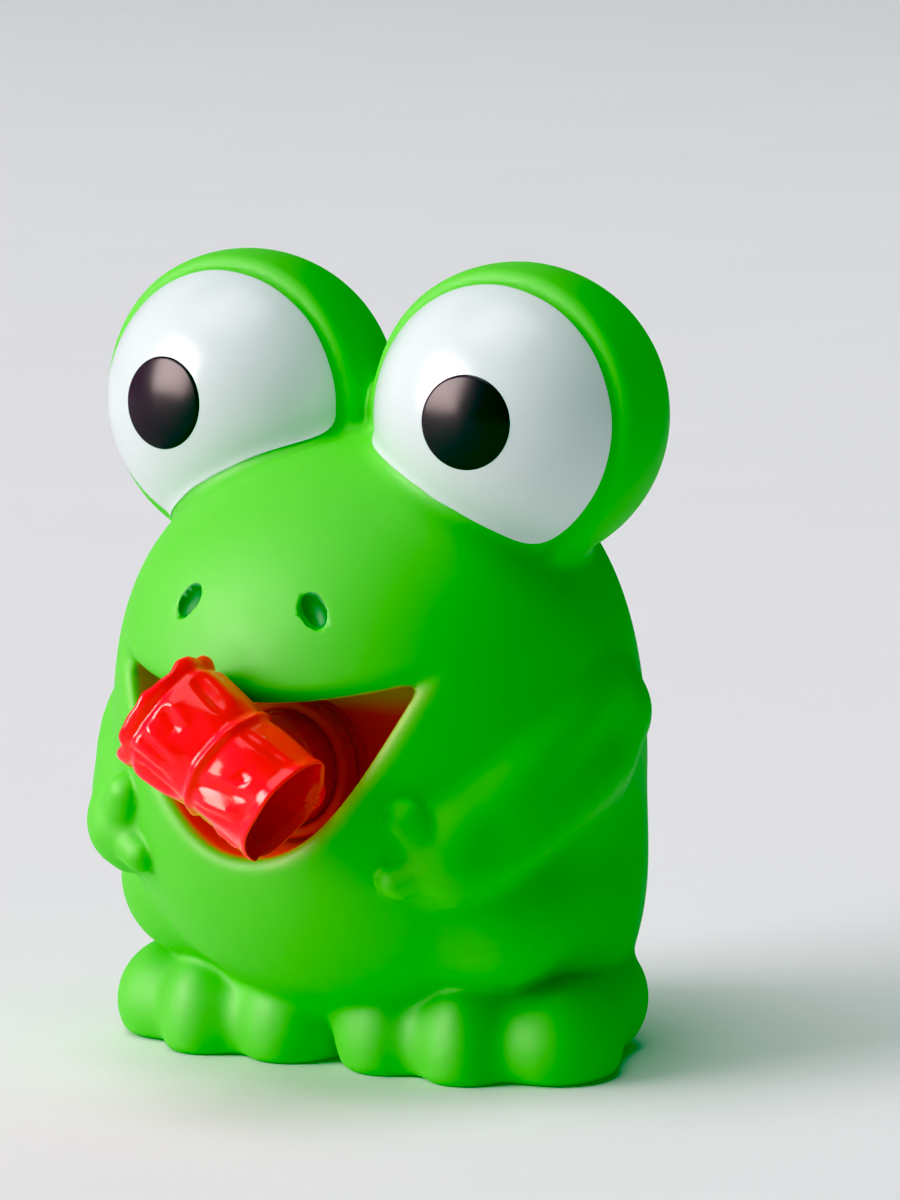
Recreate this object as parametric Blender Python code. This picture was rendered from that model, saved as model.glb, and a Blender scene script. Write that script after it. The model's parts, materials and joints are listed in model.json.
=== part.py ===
"""Squeeze frog whose rolled film tongue shoots out of its mouth.

Units are metres and +Z is up. The frog faces -Y and its left side is +X. The origin lies on the flat base.
"""
import math

import bmesh
import bpy
from mathutils import Matrix, Vector

# Walls and clearances
CLEARANCE = 0.0003
SHELL_WALL = 0.0024
FLOOR_THICKNESS = 0.0030

# A front hulled round head, chest and belly, and a back hulled round nape and seat, all ellipsoids
HEAD_WIDTH = 0.0464
HEAD_DEPTH = 0.0494
HEAD_HEIGHT = 0.0404
HEAD_CENTRE_Y = -0.0042
HEAD_CENTRE_Z = 0.0385
CHEST_WIDTH = 0.0488
CHEST_DEPTH = 0.0512
CHEST_HEIGHT = 0.0360
CHEST_CENTRE_Y = -0.0040
CHEST_CENTRE_Z = 0.0314
BELLY_WIDTH = 0.0466
BELLY_DEPTH = 0.0484
BELLY_HEIGHT = 0.0420
BELLY_CENTRE_Y = -0.0039
BELLY_CENTRE_Z = 0.0246
NAPE_WIDTH = 0.0452
NAPE_DEPTH = 0.0410
NAPE_HEIGHT = 0.0464
NAPE_CENTRE_Y = 0.0018
NAPE_CENTRE_Z = 0.0350
SEAT_WIDTH = 0.0456
SEAT_DEPTH = 0.0378
SEAT_HEIGHT = 0.0388
SEAT_CENTRE_Y = 0.0042
SEAT_CENTRE_Z = 0.0155

# Eye mounds stand on top of the head
EYE_RADIUS = 0.01405
EYE_SPREAD = 0.0291
EYE_CENTRE_Y = -0.0029
EYE_RISE = 0.00225
EYE_PASSAGE_RADIUS = 0.0060

# White caps set back in the eye mounds, which leaves a lid round them, and pupils let into the caps
WHITE_HALF_ANGLE = math.radians(72.5)
WHITE_THICKNESS = 0.0012
WHITE_SETBACK = 0.0008
WHITE_HEAD_MARGIN = 0.0004
PUPIL_RADIUS = 0.0046
PUPIL_THICKNESS = 0.0006
PUPIL_PROUD = 0.00025
PUPIL_OUTWARD_ANGLE = math.radians(7.4)
PUPIL_RISE_ANGLE = math.radians(2.5)

# Nostril dimples
NOSTRIL_SPREAD = 0.0132
NOSTRIL_HEIGHT = 0.0450
NOSTRIL_LENGTH = 0.0036
NOSTRIL_WIDTH = 0.0023
NOSTRIL_DEPTH = 0.0009
NOSTRIL_LEAN = math.radians(32.0)

# Open mouth, seen from the front
MOUTH_WIDTH = 0.0304
MOUTH_CORNER_HEIGHT = 0.0385
UPPER_LIP_SAG = 0.0021
LOWER_LIP_DROP = 0.0165
LOWER_LIP_POWER = 2.2
POCKET_DEPTH = 0.0138

# Arms and hands follow the torso: compass angle from the face, height, and how far the limb stands proud
ELBOW = (107.0, 0.0330)
ELBOW_RADIUS = 0.0050
ELBOW_RELIEF = 0.0022
UPPER_RIDGE = ((95.0, 0.0354), (73.0, 0.0319), (58.0, 0.0287), (45.0, 0.0271))
UPPER_RELIEF = 0.0019
LOWER_RIDGE = ((98.0, 0.0294), (71.0, 0.0260), (50.0, 0.0204))
LOWER_RELIEF = 0.0023
ARM_RADIUS = 0.0028
PALM = (46.5, 0.0242)
PALM_RADIUS = 0.0038
PALM_RELIEF = 0.0023
FINGER_TIPS = ((35.9, 0.0275), (35.6, 0.0212), (47.8, 0.0199))
FINGER_ROOT_RADIUS = 0.0026
FINGER_RADIUS = 0.0019
FINGER_RELIEF = 0.0018

# Thighs and feet
HIP = (0.0140, 0.0030, 0.0150)
KNEE = (0.0156, -0.0092, 0.0162)
THIGH_RADIUS = 0.0082
ANKLE = (0.0125, 0.0040, 0.0045)
ANKLE_RADIUS = 0.0060
TOE_TIPS = ((0.0055, -0.0107, 0.0032), (0.0141, -0.0113, 0.0032), (0.0212, -0.0072, 0.0032))
TOE_TOPS = (0.0095, 0.0094, 0.0076)
TOE_RADIUS = 0.0045
TOE_TOP_RADIUS = 0.0036
TOE_REACH = 0.0022
INSTEP_RADIUS = 0.0047
HEEL = (0.0165, 0.0066, 0.0049)
HEEL_RADIUS = 0.0056

# Plug in the moulding hole of the base
PLUG_CENTRE_Y = 0.0030
PLUG_RADIUS = 0.0095
PLUG_FLANGE_THICKNESS = 0.0014
PLUG_NECK_RADIUS = 0.0072
PLUG_LIP_REACH = 0.0007
PLUG_LIP_THICKNESS = 0.0012

# Air nozzle through the back wall of the mouth pocket, and the collar that clamps the film on it
NOZZLE_DROP = 0.0093
NOZZLE_BORE_RADIUS = 0.0026
NOZZLE_TUBE_RADIUS = 0.0040
NOZZLE_BARB_REACH = 0.0012
NOZZLE_BARB_LENGTH = 0.0030
NOZZLE_FLANGE_RADIUS = 0.0062
NOZZLE_FLANGE_THICKNESS = 0.0014
SPIGOT_RADIUS = 0.0043
SPIGOT_LENGTH = 0.0050
SLEEVE_WALL = 0.0006
COLLAR_WALL = 0.0010
COLLAR_LENGTH = 0.0022
COLLAR_SETBACK = 0.0006

# Tongue film: a flat tube wound into a roll just in front of the mouth
FILM_WIDTH = 0.0172
FILM_THICKNESS = 0.00034
ROLL_RADIUS = 0.0054
ROLL_PITCH = 0.00082
ROLL_TURNS = 2.75
ROLL_TILT = math.radians(34.0)
ROLL_SHIFT_X = 0.0023
ROLL_DROP = 0.0064
ROLL_STAND_OFF = 0.0054
NECK_END_WIDTH = 0.0155
NECK_END_THICKNESS = 0.0014

# Facet counts
BODY_SEGMENTS = 30
HOLLOW_SEGMENTS = 18
LIMB_SEGMENTS = 12
TURNED_SEGMENTS = 28
WHITE_RINGS = 7
PUPIL_RINGS = 3
LIP_POINTS = 12
NECK_SECTIONS = 9
NECK_POINTS = 20
TURN_POINTS = 24

# Points closer than this are one point
WELD = 0.000005

# Outside every form
FAR = 0.1200


def clear_scene():
    """Remove every object of the open file."""
    for item in list(bpy.data.objects):
        bpy.data.objects.remove(item, do_unlink=True)


def material(name, colour, roughness):
    """Return a Principled material of one colour."""
    finish = bpy.data.materials.new(name)
    finish.use_nodes = True
    shader = finish.node_tree.nodes["Principled BSDF"]
    shader.inputs["Base Color"].default_value = (*colour, 1.0)
    shader.inputs["Roughness"].default_value = roughness
    shader.inputs["Metallic"].default_value = 0.0
    return finish


def add_object(name, mesh, collection, finish=None):
    """Put a mesh into a collection as a named object, shaded smooth with sharp edges kept."""
    item = bpy.data.objects.new(name, mesh)
    collection.objects.link(item)
    mesh.shade_smooth()
    mesh.set_sharp_from_angle(angle=math.radians(35.0))
    if finish is not None:
        mesh.materials.append(finish)
    return item


def as_tool(item):
    """Mark an object as a cutter or a form that is not a piece by itself."""
    item.hide_render = True
    item.display_type = "WIRE"
    return item


def mesh_from(shape, name):
    """Turn a bmesh into a mesh with its faces pointing out."""
    bmesh.ops.recalc_face_normals(shape, faces=shape.faces[:])
    mesh = bpy.data.meshes.new(name)
    shape.to_mesh(mesh)
    shape.free()
    return mesh


def ellipsoid(name, centre, half_sizes, segments):
    """Mesh of an ellipsoid with its poles up and down."""
    shape = bmesh.new()
    place = Matrix.Translation(centre) @ Matrix.Diagonal((*half_sizes, 1.0))
    bmesh.ops.create_uvsphere(shape, u_segments=segments, v_segments=segments // 2, radius=1.0, matrix=place)
    return mesh_from(shape, name)


def hull(name, forms, segments):
    """Mesh of the hull round several ellipsoids, each given by its centre and half sizes."""
    shape = bmesh.new()
    for centre, half_sizes in forms:
        place = Matrix.Translation(centre) @ Matrix.Diagonal((*half_sizes, 1.0))
        rings = segments // 2
        bmesh.ops.create_uvsphere(shape, u_segments=segments, v_segments=rings, radius=1.0, matrix=place)
    bmesh.ops.delete(shape, geom=shape.edges[:] + shape.faces[:], context="EDGES_FACES")
    bmesh.ops.convex_hull(shape, input=shape.verts[:])
    inside = [point for point in shape.verts if not point.link_faces]
    bmesh.ops.delete(shape, geom=inside, context="VERTS")
    return mesh_from(shape, name)


def ball(centre, radius):
    """Centre and half sizes of a ball."""
    return (centre, (radius,) * 3)


def block(name, low, high):
    """Mesh of a box between two corners."""
    shape = bmesh.new()
    centre = (Vector(low) + Vector(high)) / 2
    size = Vector(high) - Vector(low)
    place = Matrix.Translation(centre) @ Matrix.Diagonal((*size, 1.0))
    bmesh.ops.create_cube(shape, size=1.0, matrix=place)
    return mesh_from(shape, name)


def turned(name, profile, closed):
    """Mesh turned about Z from (radius, height) points; an open profile starts and ends on the axis."""
    shape = bmesh.new()
    points = [shape.verts.new((radius, 0.0, height)) for radius, height in profile]
    pairs = list(zip(points, points[1:]))
    if closed:
        pairs.append((points[-1], points[0]))
    edges = [shape.edges.new(pair) for pair in pairs]
    bmesh.ops.spin(
        shape, geom=points + edges, axis=(0, 0, 1), cent=(0, 0, 0), angle=math.tau,
        steps=TURNED_SEGMENTS, use_merge=True)
    bmesh.ops.remove_doubles(shape, verts=shape.verts[:], dist=1e-7)
    return mesh_from(shape, name)


def lofted(name, sections):
    """Mesh through equal closed sections, with flat ends."""
    shape = bmesh.new()
    rings = [[shape.verts.new(point) for point in section] for section in sections]
    for ring, following in zip(rings, rings[1:]):
        for index in range(len(ring)):
            after = (index + 1) % len(ring)
            shape.faces.new((ring[index], ring[after], following[after], following[index]))
    shape.faces.new(rings[0])
    shape.faces.new(rings[-1])
    return mesh_from(shape, name)


def boolean(item, operation, tool=None, group=None):
    """Add an exact Boolean with one object, or with a collection of objects."""
    step = item.modifiers.new(operation.lower(), "BOOLEAN")
    step.operation = operation
    step.solver = "EXACT"
    if group is None:
        step.object = tool
    else:
        step.operand_type = "COLLECTION"
        step.collection = group


def new_collection(name):
    """Return a new collection under the scene."""
    collection = bpy.data.collections.new(name)
    bpy.context.scene.collection.children.link(collection)
    return collection


def head_half_sizes(grow=0.0):
    """Half sizes of the head ellipsoid, grown by a distance."""
    return (HEAD_WIDTH / 2 + grow, HEAD_DEPTH / 2 + grow, HEAD_HEIGHT / 2 + grow)


def torso_forms(grow=0.0):
    """Centre and half sizes of head, chest, belly, nape and seat, grown by a distance."""
    chest = (CHEST_WIDTH / 2 + grow, CHEST_DEPTH / 2 + grow, CHEST_HEIGHT / 2 + grow)
    belly = (BELLY_WIDTH / 2 + grow, BELLY_DEPTH / 2 + grow, BELLY_HEIGHT / 2 + grow)
    nape = (NAPE_WIDTH / 2 + grow, NAPE_DEPTH / 2 + grow, NAPE_HEIGHT / 2 + grow)
    seat = (SEAT_WIDTH / 2 + grow, SEAT_DEPTH / 2 + grow, SEAT_HEIGHT / 2 + grow)
    return {
        "head": ((0.0, HEAD_CENTRE_Y, HEAD_CENTRE_Z), head_half_sizes(grow)),
        "chest": ((0.0, CHEST_CENTRE_Y, CHEST_CENTRE_Z), chest),
        "belly": ((0.0, BELLY_CENTRE_Y, BELLY_CENTRE_Z), belly),
        "nape": ((0.0, NAPE_CENTRE_Y, NAPE_CENTRE_Z), nape),
        "seat": ((0.0, SEAT_CENTRE_Y, SEAT_CENTRE_Z), seat),
    }


def front_forms(grow=0.0):
    """Forms that the front is hulled round, grown by a distance."""
    forms = torso_forms(grow)
    return (forms["head"], forms["chest"], forms["belly"])


def back_forms(grow=0.0):
    """Forms that the back is hulled round, grown by a distance."""
    forms = torso_forms(grow)
    return (forms["nape"], forms["seat"])


def eye_centre(side):
    """Centre of an eye mound; side is 1 for the frog's left and -1 for its right."""
    return Vector((side * EYE_SPREAD / 2, EYE_CENTRE_Y, HEAD_CENTRE_Z + HEAD_HEIGHT / 2 + EYE_RISE))


def ellipsoid_front(centre, half_sizes, x, z):
    """Forward y of an ellipsoid at a place seen from the front."""
    share = 1.0 - ((x - centre[0]) / half_sizes[0]) ** 2 - ((z - centre[2]) / half_sizes[2]) ** 2
    return centre[1] - half_sizes[1] * math.sqrt(max(share, 0.0))


def face_front(x, z):
    """Forward y of head, chest and belly together at a place seen from the front."""
    return min(ellipsoid_front(*form, x, z) for form in front_forms())


def ellipsoid_reach(centre, half_sizes, sine, cosine, height):
    """Distance from the belly's axis to an ellipsoid along a level ray, or nought where the ray misses it."""
    step = BELLY_CENTRE_Y - centre[1]
    square = (sine / half_sizes[0]) ** 2 + (cosine / half_sizes[1]) ** 2
    cross = -cosine * step / half_sizes[1] ** 2
    rest = (step / half_sizes[1]) ** 2 + ((height - centre[2]) / half_sizes[2]) ** 2 - 1.0
    spare = cross * cross - square * rest
    return (-cross + math.sqrt(spare)) / square if spare > 0.0 else 0.0


def torso_point(compass, height, side, stand_off):
    """Point off the torso at a compass angle from the face and a height."""
    sine = math.sin(math.radians(compass))
    cosine = math.cos(math.radians(compass))
    forms = torso_forms().values()
    reach = max(ellipsoid_reach(*form, sine, cosine, height) for form in forms) + stand_off
    return Vector((side * reach * sine, BELLY_CENTRE_Y - reach * cosine, height))


def mirrored(point, side):
    """A point given on the frog's left, or its mirror image."""
    return Vector((side * point[0], point[1], point[2]))


def mouth_outline(grow=0.0):
    """Mouth outline in (x, z): a sagging upper lip and a deep power-curve lower lip."""
    half = MOUTH_WIDTH / 2 + grow
    corner = MOUTH_CORNER_HEIGHT + grow
    lower = []
    upper = []
    for index in range(LIP_POINTS + 1):
        share = math.cos(math.pi * index / LIP_POINTS)
        drop = (LOWER_LIP_DROP + 2 * grow) * (1.0 - abs(share) ** LOWER_LIP_POWER)
        lower.append((half * share, corner - drop))
        upper.append((-half * share, corner - UPPER_LIP_SAG * (1.0 - share ** 2)))
    return lower + upper[1:-1]


def mouth_prism(name, grow, back_y):
    """Solid of the mouth outline from in front of the frog to a back face."""
    outline = mouth_outline(grow)
    return lofted(name, [[(x, y, z) for x, z in outline] for y in (-FAR, back_y)])


def nozzle_height():
    """Height of the nozzle axis, below the corners of the mouth."""
    return MOUTH_CORNER_HEIGHT - NOZZLE_DROP


def pocket_floor_y():
    """Y of the pocket's back wall, seen from the mouth."""
    return face_front(0.0, nozzle_height()) + POCKET_DEPTH


def along_nozzle(name, profile, closed, collection, finish=None):
    """Turned piece on the nozzle axis; its heights run out of the mouth from the pocket's back wall."""
    item = add_object(name, turned(name, profile, closed), collection, finish)
    item.location = (0.0, pocket_floor_y(), nozzle_height())
    item.rotation_euler = (math.radians(90.0), 0.0, 0.0)
    return item


def cap_profile(inner_radius, outer_radius, half_angle, rings):
    """Profile of a domed cap about +Z, from the pole of its outer face to the pole of its inner face."""
    angles = [half_angle * index / rings for index in range(rings + 1)]
    outer = [(outer_radius * math.sin(angle), outer_radius * math.cos(angle)) for angle in angles]
    inner = [(inner_radius * math.sin(angle), inner_radius * math.cos(angle)) for angle in reversed(angles)]
    return outer + inner


def white_cap(name, side, radii, half_angle, collection, finish=None):
    """Domed cap on an eye mound, looking forwards."""
    return eye_cap(name, side, cap_profile(*radii, half_angle, WHITE_RINGS), (0.0, 0.0), collection, finish)


def pupil_cap(name, side, radii, half_angle, collection, finish=None):
    """Small domed cap on an eye mound, looking forwards, a little outwards and a little up."""
    profile = cap_profile(*radii, half_angle, PUPIL_RINGS)
    return eye_cap(name, side, profile, (PUPIL_OUTWARD_ANGLE, PUPIL_RISE_ANGLE), collection, finish)


def eye_cap(name, side, profile, gaze, collection, finish):
    """Cap turned from its profile, placed on an eye mound and turned outwards and up by two angles."""
    item = add_object(name, turned(name, profile, False), collection, finish)
    item.location = eye_centre(side)
    item.rotation_euler = (math.radians(90.0) - gaze[1], 0.0, side * gaze[0])
    return item


def white_outer_radius():
    """Radius of a white cap's outer face."""
    return EYE_RADIUS - WHITE_SETBACK


def eye_recess_radius():
    """Radius of the floor that a white cap sits on."""
    return white_outer_radius() - WHITE_THICKNESS - CLEARANCE


def pupil_outer_radius():
    """Radius of a pupil's outer face."""
    return white_outer_radius() + PUPIL_PROUD


def sides():
    """Names and signs of the frog's left and right."""
    return (("left", 1), ("right", -1))


def arm_forms(side):
    """Limbs of one arm and its hand: a name and the balls at its ends."""
    elbow = torso_point(*ELBOW, side, ELBOW_RELIEF - ELBOW_RADIUS)
    for label, places, relief in (("upper", UPPER_RIDGE, UPPER_RELIEF), ("lower", LOWER_RIDGE, LOWER_RELIEF)):
        joints = [torso_point(*place, side, relief - ARM_RADIUS) for place in places]
        yield f"{label}_arm", (ball(elbow, ELBOW_RADIUS), ball(joints[0], ARM_RADIUS))
        for number, (start, end) in enumerate(zip(joints, joints[1:])):
            yield f"{label}_ridge_{number}", (ball(start, ARM_RADIUS), ball(end, ARM_RADIUS))
    palm = torso_point(*PALM, side, PALM_RELIEF - PALM_RADIUS)
    yield "palm", (ball(palm, PALM_RADIUS),)
    for number, tip in enumerate(FINGER_TIPS):
        end = torso_point(*tip, side, FINGER_RELIEF - FINGER_RADIUS)
        yield f"finger_{number}", (ball(palm, FINGER_ROOT_RADIUS), ball(end, FINGER_RADIUS))


def leg_forms(side):
    """Limbs of one thigh and foot: a name and the balls that it is hulled round."""
    hip = mirrored(HIP, side)
    knee = mirrored(KNEE, side)
    yield "thigh", (ball(hip, THIGH_RADIUS), ball(knee, THIGH_RADIUS))
    ankle = mirrored(ANKLE, side)
    instep = [ball(ankle, ANKLE_RADIUS), ball(mirrored(HEEL, side), HEEL_RADIUS)]
    for number, (tip, top) in enumerate(zip(TOE_TIPS, TOE_TOPS)):
        end = mirrored(tip, side)
        root = end + (ankle - end).normalized() * TOE_REACH
        crest = Vector((end.x, end.y, top - TOE_TOP_RADIUS))
        instep.append(ball(root, INSTEP_RADIUS))
        yield f"toe_{number}", (ball(root, INSTEP_RADIUS), ball(end, TOE_RADIUS), ball(crest, TOE_TOP_RADIUS))
    yield "instep", instep


def outer_forms():
    """Collection of the forms that join the front to make the frog's outside."""
    collection = new_collection("outer_forms")
    as_tool(add_object("form_back", hull("back", back_forms(), BODY_SEGMENTS), collection))
    for label, side in sides():
        mound = ellipsoid("eye_mound", eye_centre(side), (EYE_RADIUS,) * 3, BODY_SEGMENTS)
        as_tool(add_object(f"form_eye_{label}", mound, collection))
        for name, balls in (*arm_forms(side), *leg_forms(side)):
            as_tool(add_object(f"form_{name}_{label}", hull(name, balls, LIMB_SEGMENTS), collection))
    return collection


def nozzle_way(name, grow, collection):
    """Way out for the nozzle's flange, grown by a distance; it lies inside the mouth."""
    radius = NOZZLE_FLANGE_RADIUS + CLEARANCE + grow
    start = CLEARANCE / 2 - grow
    profile = [(0.0, FAR), (radius, FAR), (radius, start), (0.0, start)]
    return as_tool(along_nozzle(name, profile, False, collection))


def hollow(tools):
    """Air chamber: torso and eye mounds shrunk by the wall, less the floor and the pocket's walls."""
    inner = new_collection("hollow_forms")
    chamber_radius = eye_recess_radius() - SHELL_WALL
    as_tool(add_object("hollow_back", hull("back", back_forms(-SHELL_WALL), HOLLOW_SEGMENTS), inner))
    for label, side in sides():
        chamber = ellipsoid("chamber", eye_centre(side), (chamber_radius,) * 3, HOLLOW_SEGMENTS)
        as_tool(add_object(f"hollow_eye_{label}", chamber, inner))
        centre = eye_centre(side)
        foot = (centre.x / 2, HEAD_CENTRE_Y, HEAD_CENTRE_Z)
        ends = (ball(centre, EYE_PASSAGE_RADIUS), ball(foot, EYE_PASSAGE_RADIUS))
        passage = hull("passage", ends, LIMB_SEGMENTS)
        as_tool(add_object(f"hollow_passage_{label}", passage, inner))
    item = as_tool(add_object("hollow", hull("hollow", front_forms(-SHELL_WALL), HOLLOW_SEGMENTS), tools))
    boolean(item, "UNION", group=inner)
    floor = block("floor", (-FAR, -FAR, -FAR), (FAR, FAR, FLOOR_THICKNESS))
    boolean(item, "DIFFERENCE", tool=as_tool(add_object("hollow_floor", floor, tools)))
    walls = mouth_prism("pocket_walls", SHELL_WALL, pocket_floor_y() + SHELL_WALL)
    boolean(item, "DIFFERENCE", tool=as_tool(add_object("pocket_walls", walls, tools)))
    boolean(item, "DIFFERENCE", tool=nozzle_way("nozzle_way_wall", SHELL_WALL, tools))
    return item


def shell_cuts(tools):
    """Collection of the shell's cuts: ground, mouth, nozzle, plug seat, nostrils and eye recesses."""
    cuts = new_collection("shell_cuts")
    as_tool(add_object("cut_ground", block("ground", (-FAR, -FAR, -FAR), (FAR, FAR, 0.0)), cuts))
    as_tool(add_object("cut_mouth", mouth_prism("mouth", 0.0, pocket_floor_y()), cuts))
    nozzle_way("cut_nozzle_way", 0.0, cuts)
    hole = NOZZLE_TUBE_RADIUS + CLEARANCE
    reach = SHELL_WALL + CLEARANCE
    through = [(0.0, reach), (hole, reach), (hole, -reach), (0.0, -reach)]
    as_tool(along_nozzle("cut_nozzle", through, False, cuts))
    seat = PLUG_RADIUS + CLEARANCE
    neck = PLUG_NECK_RADIUS + CLEARANCE
    step = PLUG_FLANGE_THICKNESS + CLEARANCE
    above = FLOOR_THICKNESS + CLEARANCE
    profile = [(0.0, above), (neck, above), (neck, step), (seat, step), (seat, -step), (0.0, -step)]
    plug_cut = as_tool(add_object("cut_plug", turned("plug_cut", profile, False), cuts))
    plug_cut.location = (0.0, PLUG_CENTRE_Y, 0.0)
    head_centre = torso_forms()["head"][0]
    margin = ellipsoid("head_margin", head_centre, head_half_sizes(WHITE_HEAD_MARGIN), BODY_SEGMENTS)
    trim = as_tool(add_object("recess_trim", margin, tools))
    for label, side in sides():
        x = side * NOSTRIL_SPREAD / 2
        half_sizes = (NOSTRIL_WIDTH / 2, NOSTRIL_DEPTH, NOSTRIL_LENGTH / 2)
        dimple = as_tool(add_object(f"cut_nostril_{label}", ellipsoid(
            "nostril", (0, 0, 0), half_sizes, LIMB_SEGMENTS), cuts))
        dimple.location = (x, face_front(x, NOSTRIL_HEIGHT), NOSTRIL_HEIGHT)
        dimple.rotation_euler = (0.0, -side * NOSTRIL_LEAN, 0.0)
        radii = (eye_recess_radius(), EYE_RADIUS + SHELL_WALL)
        spare = CLEARANCE / EYE_RADIUS
        recess = white_cap(f"cut_recess_{label}", side, radii, WHITE_HALF_ANGLE + spare, cuts)
        boolean(as_tool(recess), "DIFFERENCE", tool=trim)
    return cuts


def body_shell(pieces, tools, vinyl):
    """One-piece hollow vinyl frog."""
    item = add_object("body_shell", hull("body_shell", front_forms(), BODY_SEGMENTS), pieces, vinyl)
    boolean(item, "UNION", group=outer_forms())
    boolean(item, "DIFFERENCE", tool=hollow(tools))
    boolean(item, "DIFFERENCE", group=shell_cuts(tools))
    clean = item.modifiers.new("weld", "WELD")
    clean.merge_threshold = WELD
    return item


def base_plug(pieces, vinyl):
    """Plug flush with the base, with a lip that snaps over the floor."""
    lip = PLUG_NECK_RADIUS + PLUG_LIP_REACH
    lip_low = FLOOR_THICKNESS + CLEARANCE
    top = lip_low + PLUG_LIP_THICKNESS
    profile = [
        (0.0, top), (PLUG_NECK_RADIUS, top), (lip, lip_low), (PLUG_NECK_RADIUS, lip_low),
        (PLUG_NECK_RADIUS, PLUG_FLANGE_THICKNESS), (PLUG_RADIUS, PLUG_FLANGE_THICKNESS), (PLUG_RADIUS, 0.0),
        (0.0, 0.0)]
    item = add_object("base_plug", turned("base_plug", profile, False), pieces, vinyl)
    item.location = (0.0, PLUG_CENTRE_Y, 0.0)
    return item


def eyes(pieces, tools, white, black):
    """White caps trimmed along the head, with the pupils let into them."""
    head_centre = torso_forms()["head"][0]
    half_sizes = head_half_sizes(WHITE_HEAD_MARGIN + CLEARANCE)
    margin = ellipsoid("white_margin", head_centre, half_sizes, BODY_SEGMENTS)
    trim = as_tool(add_object("white_trim", margin, tools))
    white_outer = white_outer_radius()
    pupil_outer = pupil_outer_radius()
    pupil_inner = pupil_outer - PUPIL_THICKNESS
    pupil_angle = PUPIL_RADIUS / pupil_outer
    spare = CLEARANCE / EYE_RADIUS
    for label, side in sides():
        radii = (white_outer - WHITE_THICKNESS, white_outer)
        cap = white_cap(f"eye_white_{label}", side, radii, WHITE_HALF_ANGLE, pieces, white)
        boolean(cap, "DIFFERENCE", tool=trim)
        seat_radii = (pupil_inner - CLEARANCE, pupil_outer + CLEARANCE)
        seat = pupil_cap(f"cut_pupil_{label}", side, seat_radii, pupil_angle + spare, tools)
        boolean(cap, "DIFFERENCE", tool=as_tool(seat))
        pupil_cap(f"pupil_{label}", side, (pupil_inner, pupil_outer), pupil_angle, pieces, black)


def sleeve_start():
    """Distance from the pocket's back wall at which the film sleeve begins on the spigot."""
    return NOZZLE_FLANGE_THICKNESS + 2 * CLEARANCE


def spigot_end():
    """Distance from the pocket's back wall to the spigot's free end."""
    return CLEARANCE + NOZZLE_FLANGE_THICKNESS + SPIGOT_LENGTH


def sleeve_outer_radius():
    """Radius of the film sleeve round the spigot."""
    return SPIGOT_RADIUS + CLEARANCE + SLEEVE_WALL


def tongue_nozzle(pieces, plastic):
    """Hollow spigot with a flange in front of the wall and a barb behind it."""
    back = -(SHELL_WALL + CLEARANCE)
    flange = CLEARANCE + NOZZLE_FLANGE_THICKNESS
    profile = [
        (NOZZLE_BORE_RADIUS, spigot_end()), (SPIGOT_RADIUS, spigot_end()), (SPIGOT_RADIUS, flange),
        (NOZZLE_FLANGE_RADIUS, flange), (NOZZLE_FLANGE_RADIUS, CLEARANCE), (NOZZLE_TUBE_RADIUS, CLEARANCE),
        (NOZZLE_TUBE_RADIUS, back), (NOZZLE_TUBE_RADIUS + NOZZLE_BARB_REACH, back),
        (NOZZLE_TUBE_RADIUS, back - NOZZLE_BARB_LENGTH), (NOZZLE_BORE_RADIUS, back - NOZZLE_BARB_LENGTH)]
    return along_nozzle("tongue_nozzle", profile, True, pieces, plastic)


def tongue_collar(pieces, plastic):
    """Ring that clamps the film sleeve on the spigot."""
    inner = sleeve_outer_radius() + CLEARANCE
    start = sleeve_start() + COLLAR_SETBACK
    end = start + COLLAR_LENGTH
    profile = [(inner, end), (inner + COLLAR_WALL, end), (inner + COLLAR_WALL, start), (inner, start)]
    return along_nozzle("tongue_collar", profile, True, pieces, plastic)


def roll_centre():
    """Middle of the tongue roll, just in front of the face."""
    height = MOUTH_CORNER_HEIGHT - ROLL_DROP
    return Vector((ROLL_SHIFT_X, face_front(0.0, nozzle_height()) - ROLL_STAND_OFF, height))


def ease(share):
    """Smooth step from 0 to 1."""
    return share * share * (3.0 - 2.0 * share)


def tongue_neck(pieces, tools, film):
    """Film between spigot and roll: a round sleeve that flattens, widens and turns to the roll's tilt."""
    start = Vector((0.0, pocket_floor_y() - sleeve_start(), nozzle_height()))
    grip = Vector((0.0, pocket_floor_y() - spigot_end(), nozzle_height()))
    end = roll_centre() + Vector((0.0, ROLL_RADIUS + CLEARANCE, 0.0))
    sections = []
    for index in range(-1, NECK_SECTIONS + 1):
        share = ease(max(index, 0) / NECK_SECTIONS)
        centre = start if index < 0 else grip.lerp(end, max(index, 0) / NECK_SECTIONS)
        centre.x = end.x * share
        half_width = sleeve_outer_radius() * (1 - share) + NECK_END_WIDTH / 2 * share
        half_thickness = sleeve_outer_radius() * (1 - share) + NECK_END_THICKNESS / 2 * share
        turn = Matrix.Rotation(ROLL_TILT * share, 3, "Y")
        ring = []
        for point in range(NECK_POINTS):
            angle = math.tau * point / NECK_POINTS
            reach = Vector((half_width * math.cos(angle), 0.0, half_thickness * math.sin(angle)))
            ring.append(centre + turn @ reach)
        sections.append(ring)
    item = add_object("tongue_neck", lofted("tongue_neck", sections), pieces, film)
    bore = SPIGOT_RADIUS + CLEARANCE
    deep = spigot_end() + CLEARANCE
    profile = [(0.0, deep), (bore, deep), (bore, 0.0), (0.0, 0.0)]
    boolean(item, "DIFFERENCE", tool=as_tool(along_nozzle("cut_spigot", profile, False, tools)))
    return item


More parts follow.
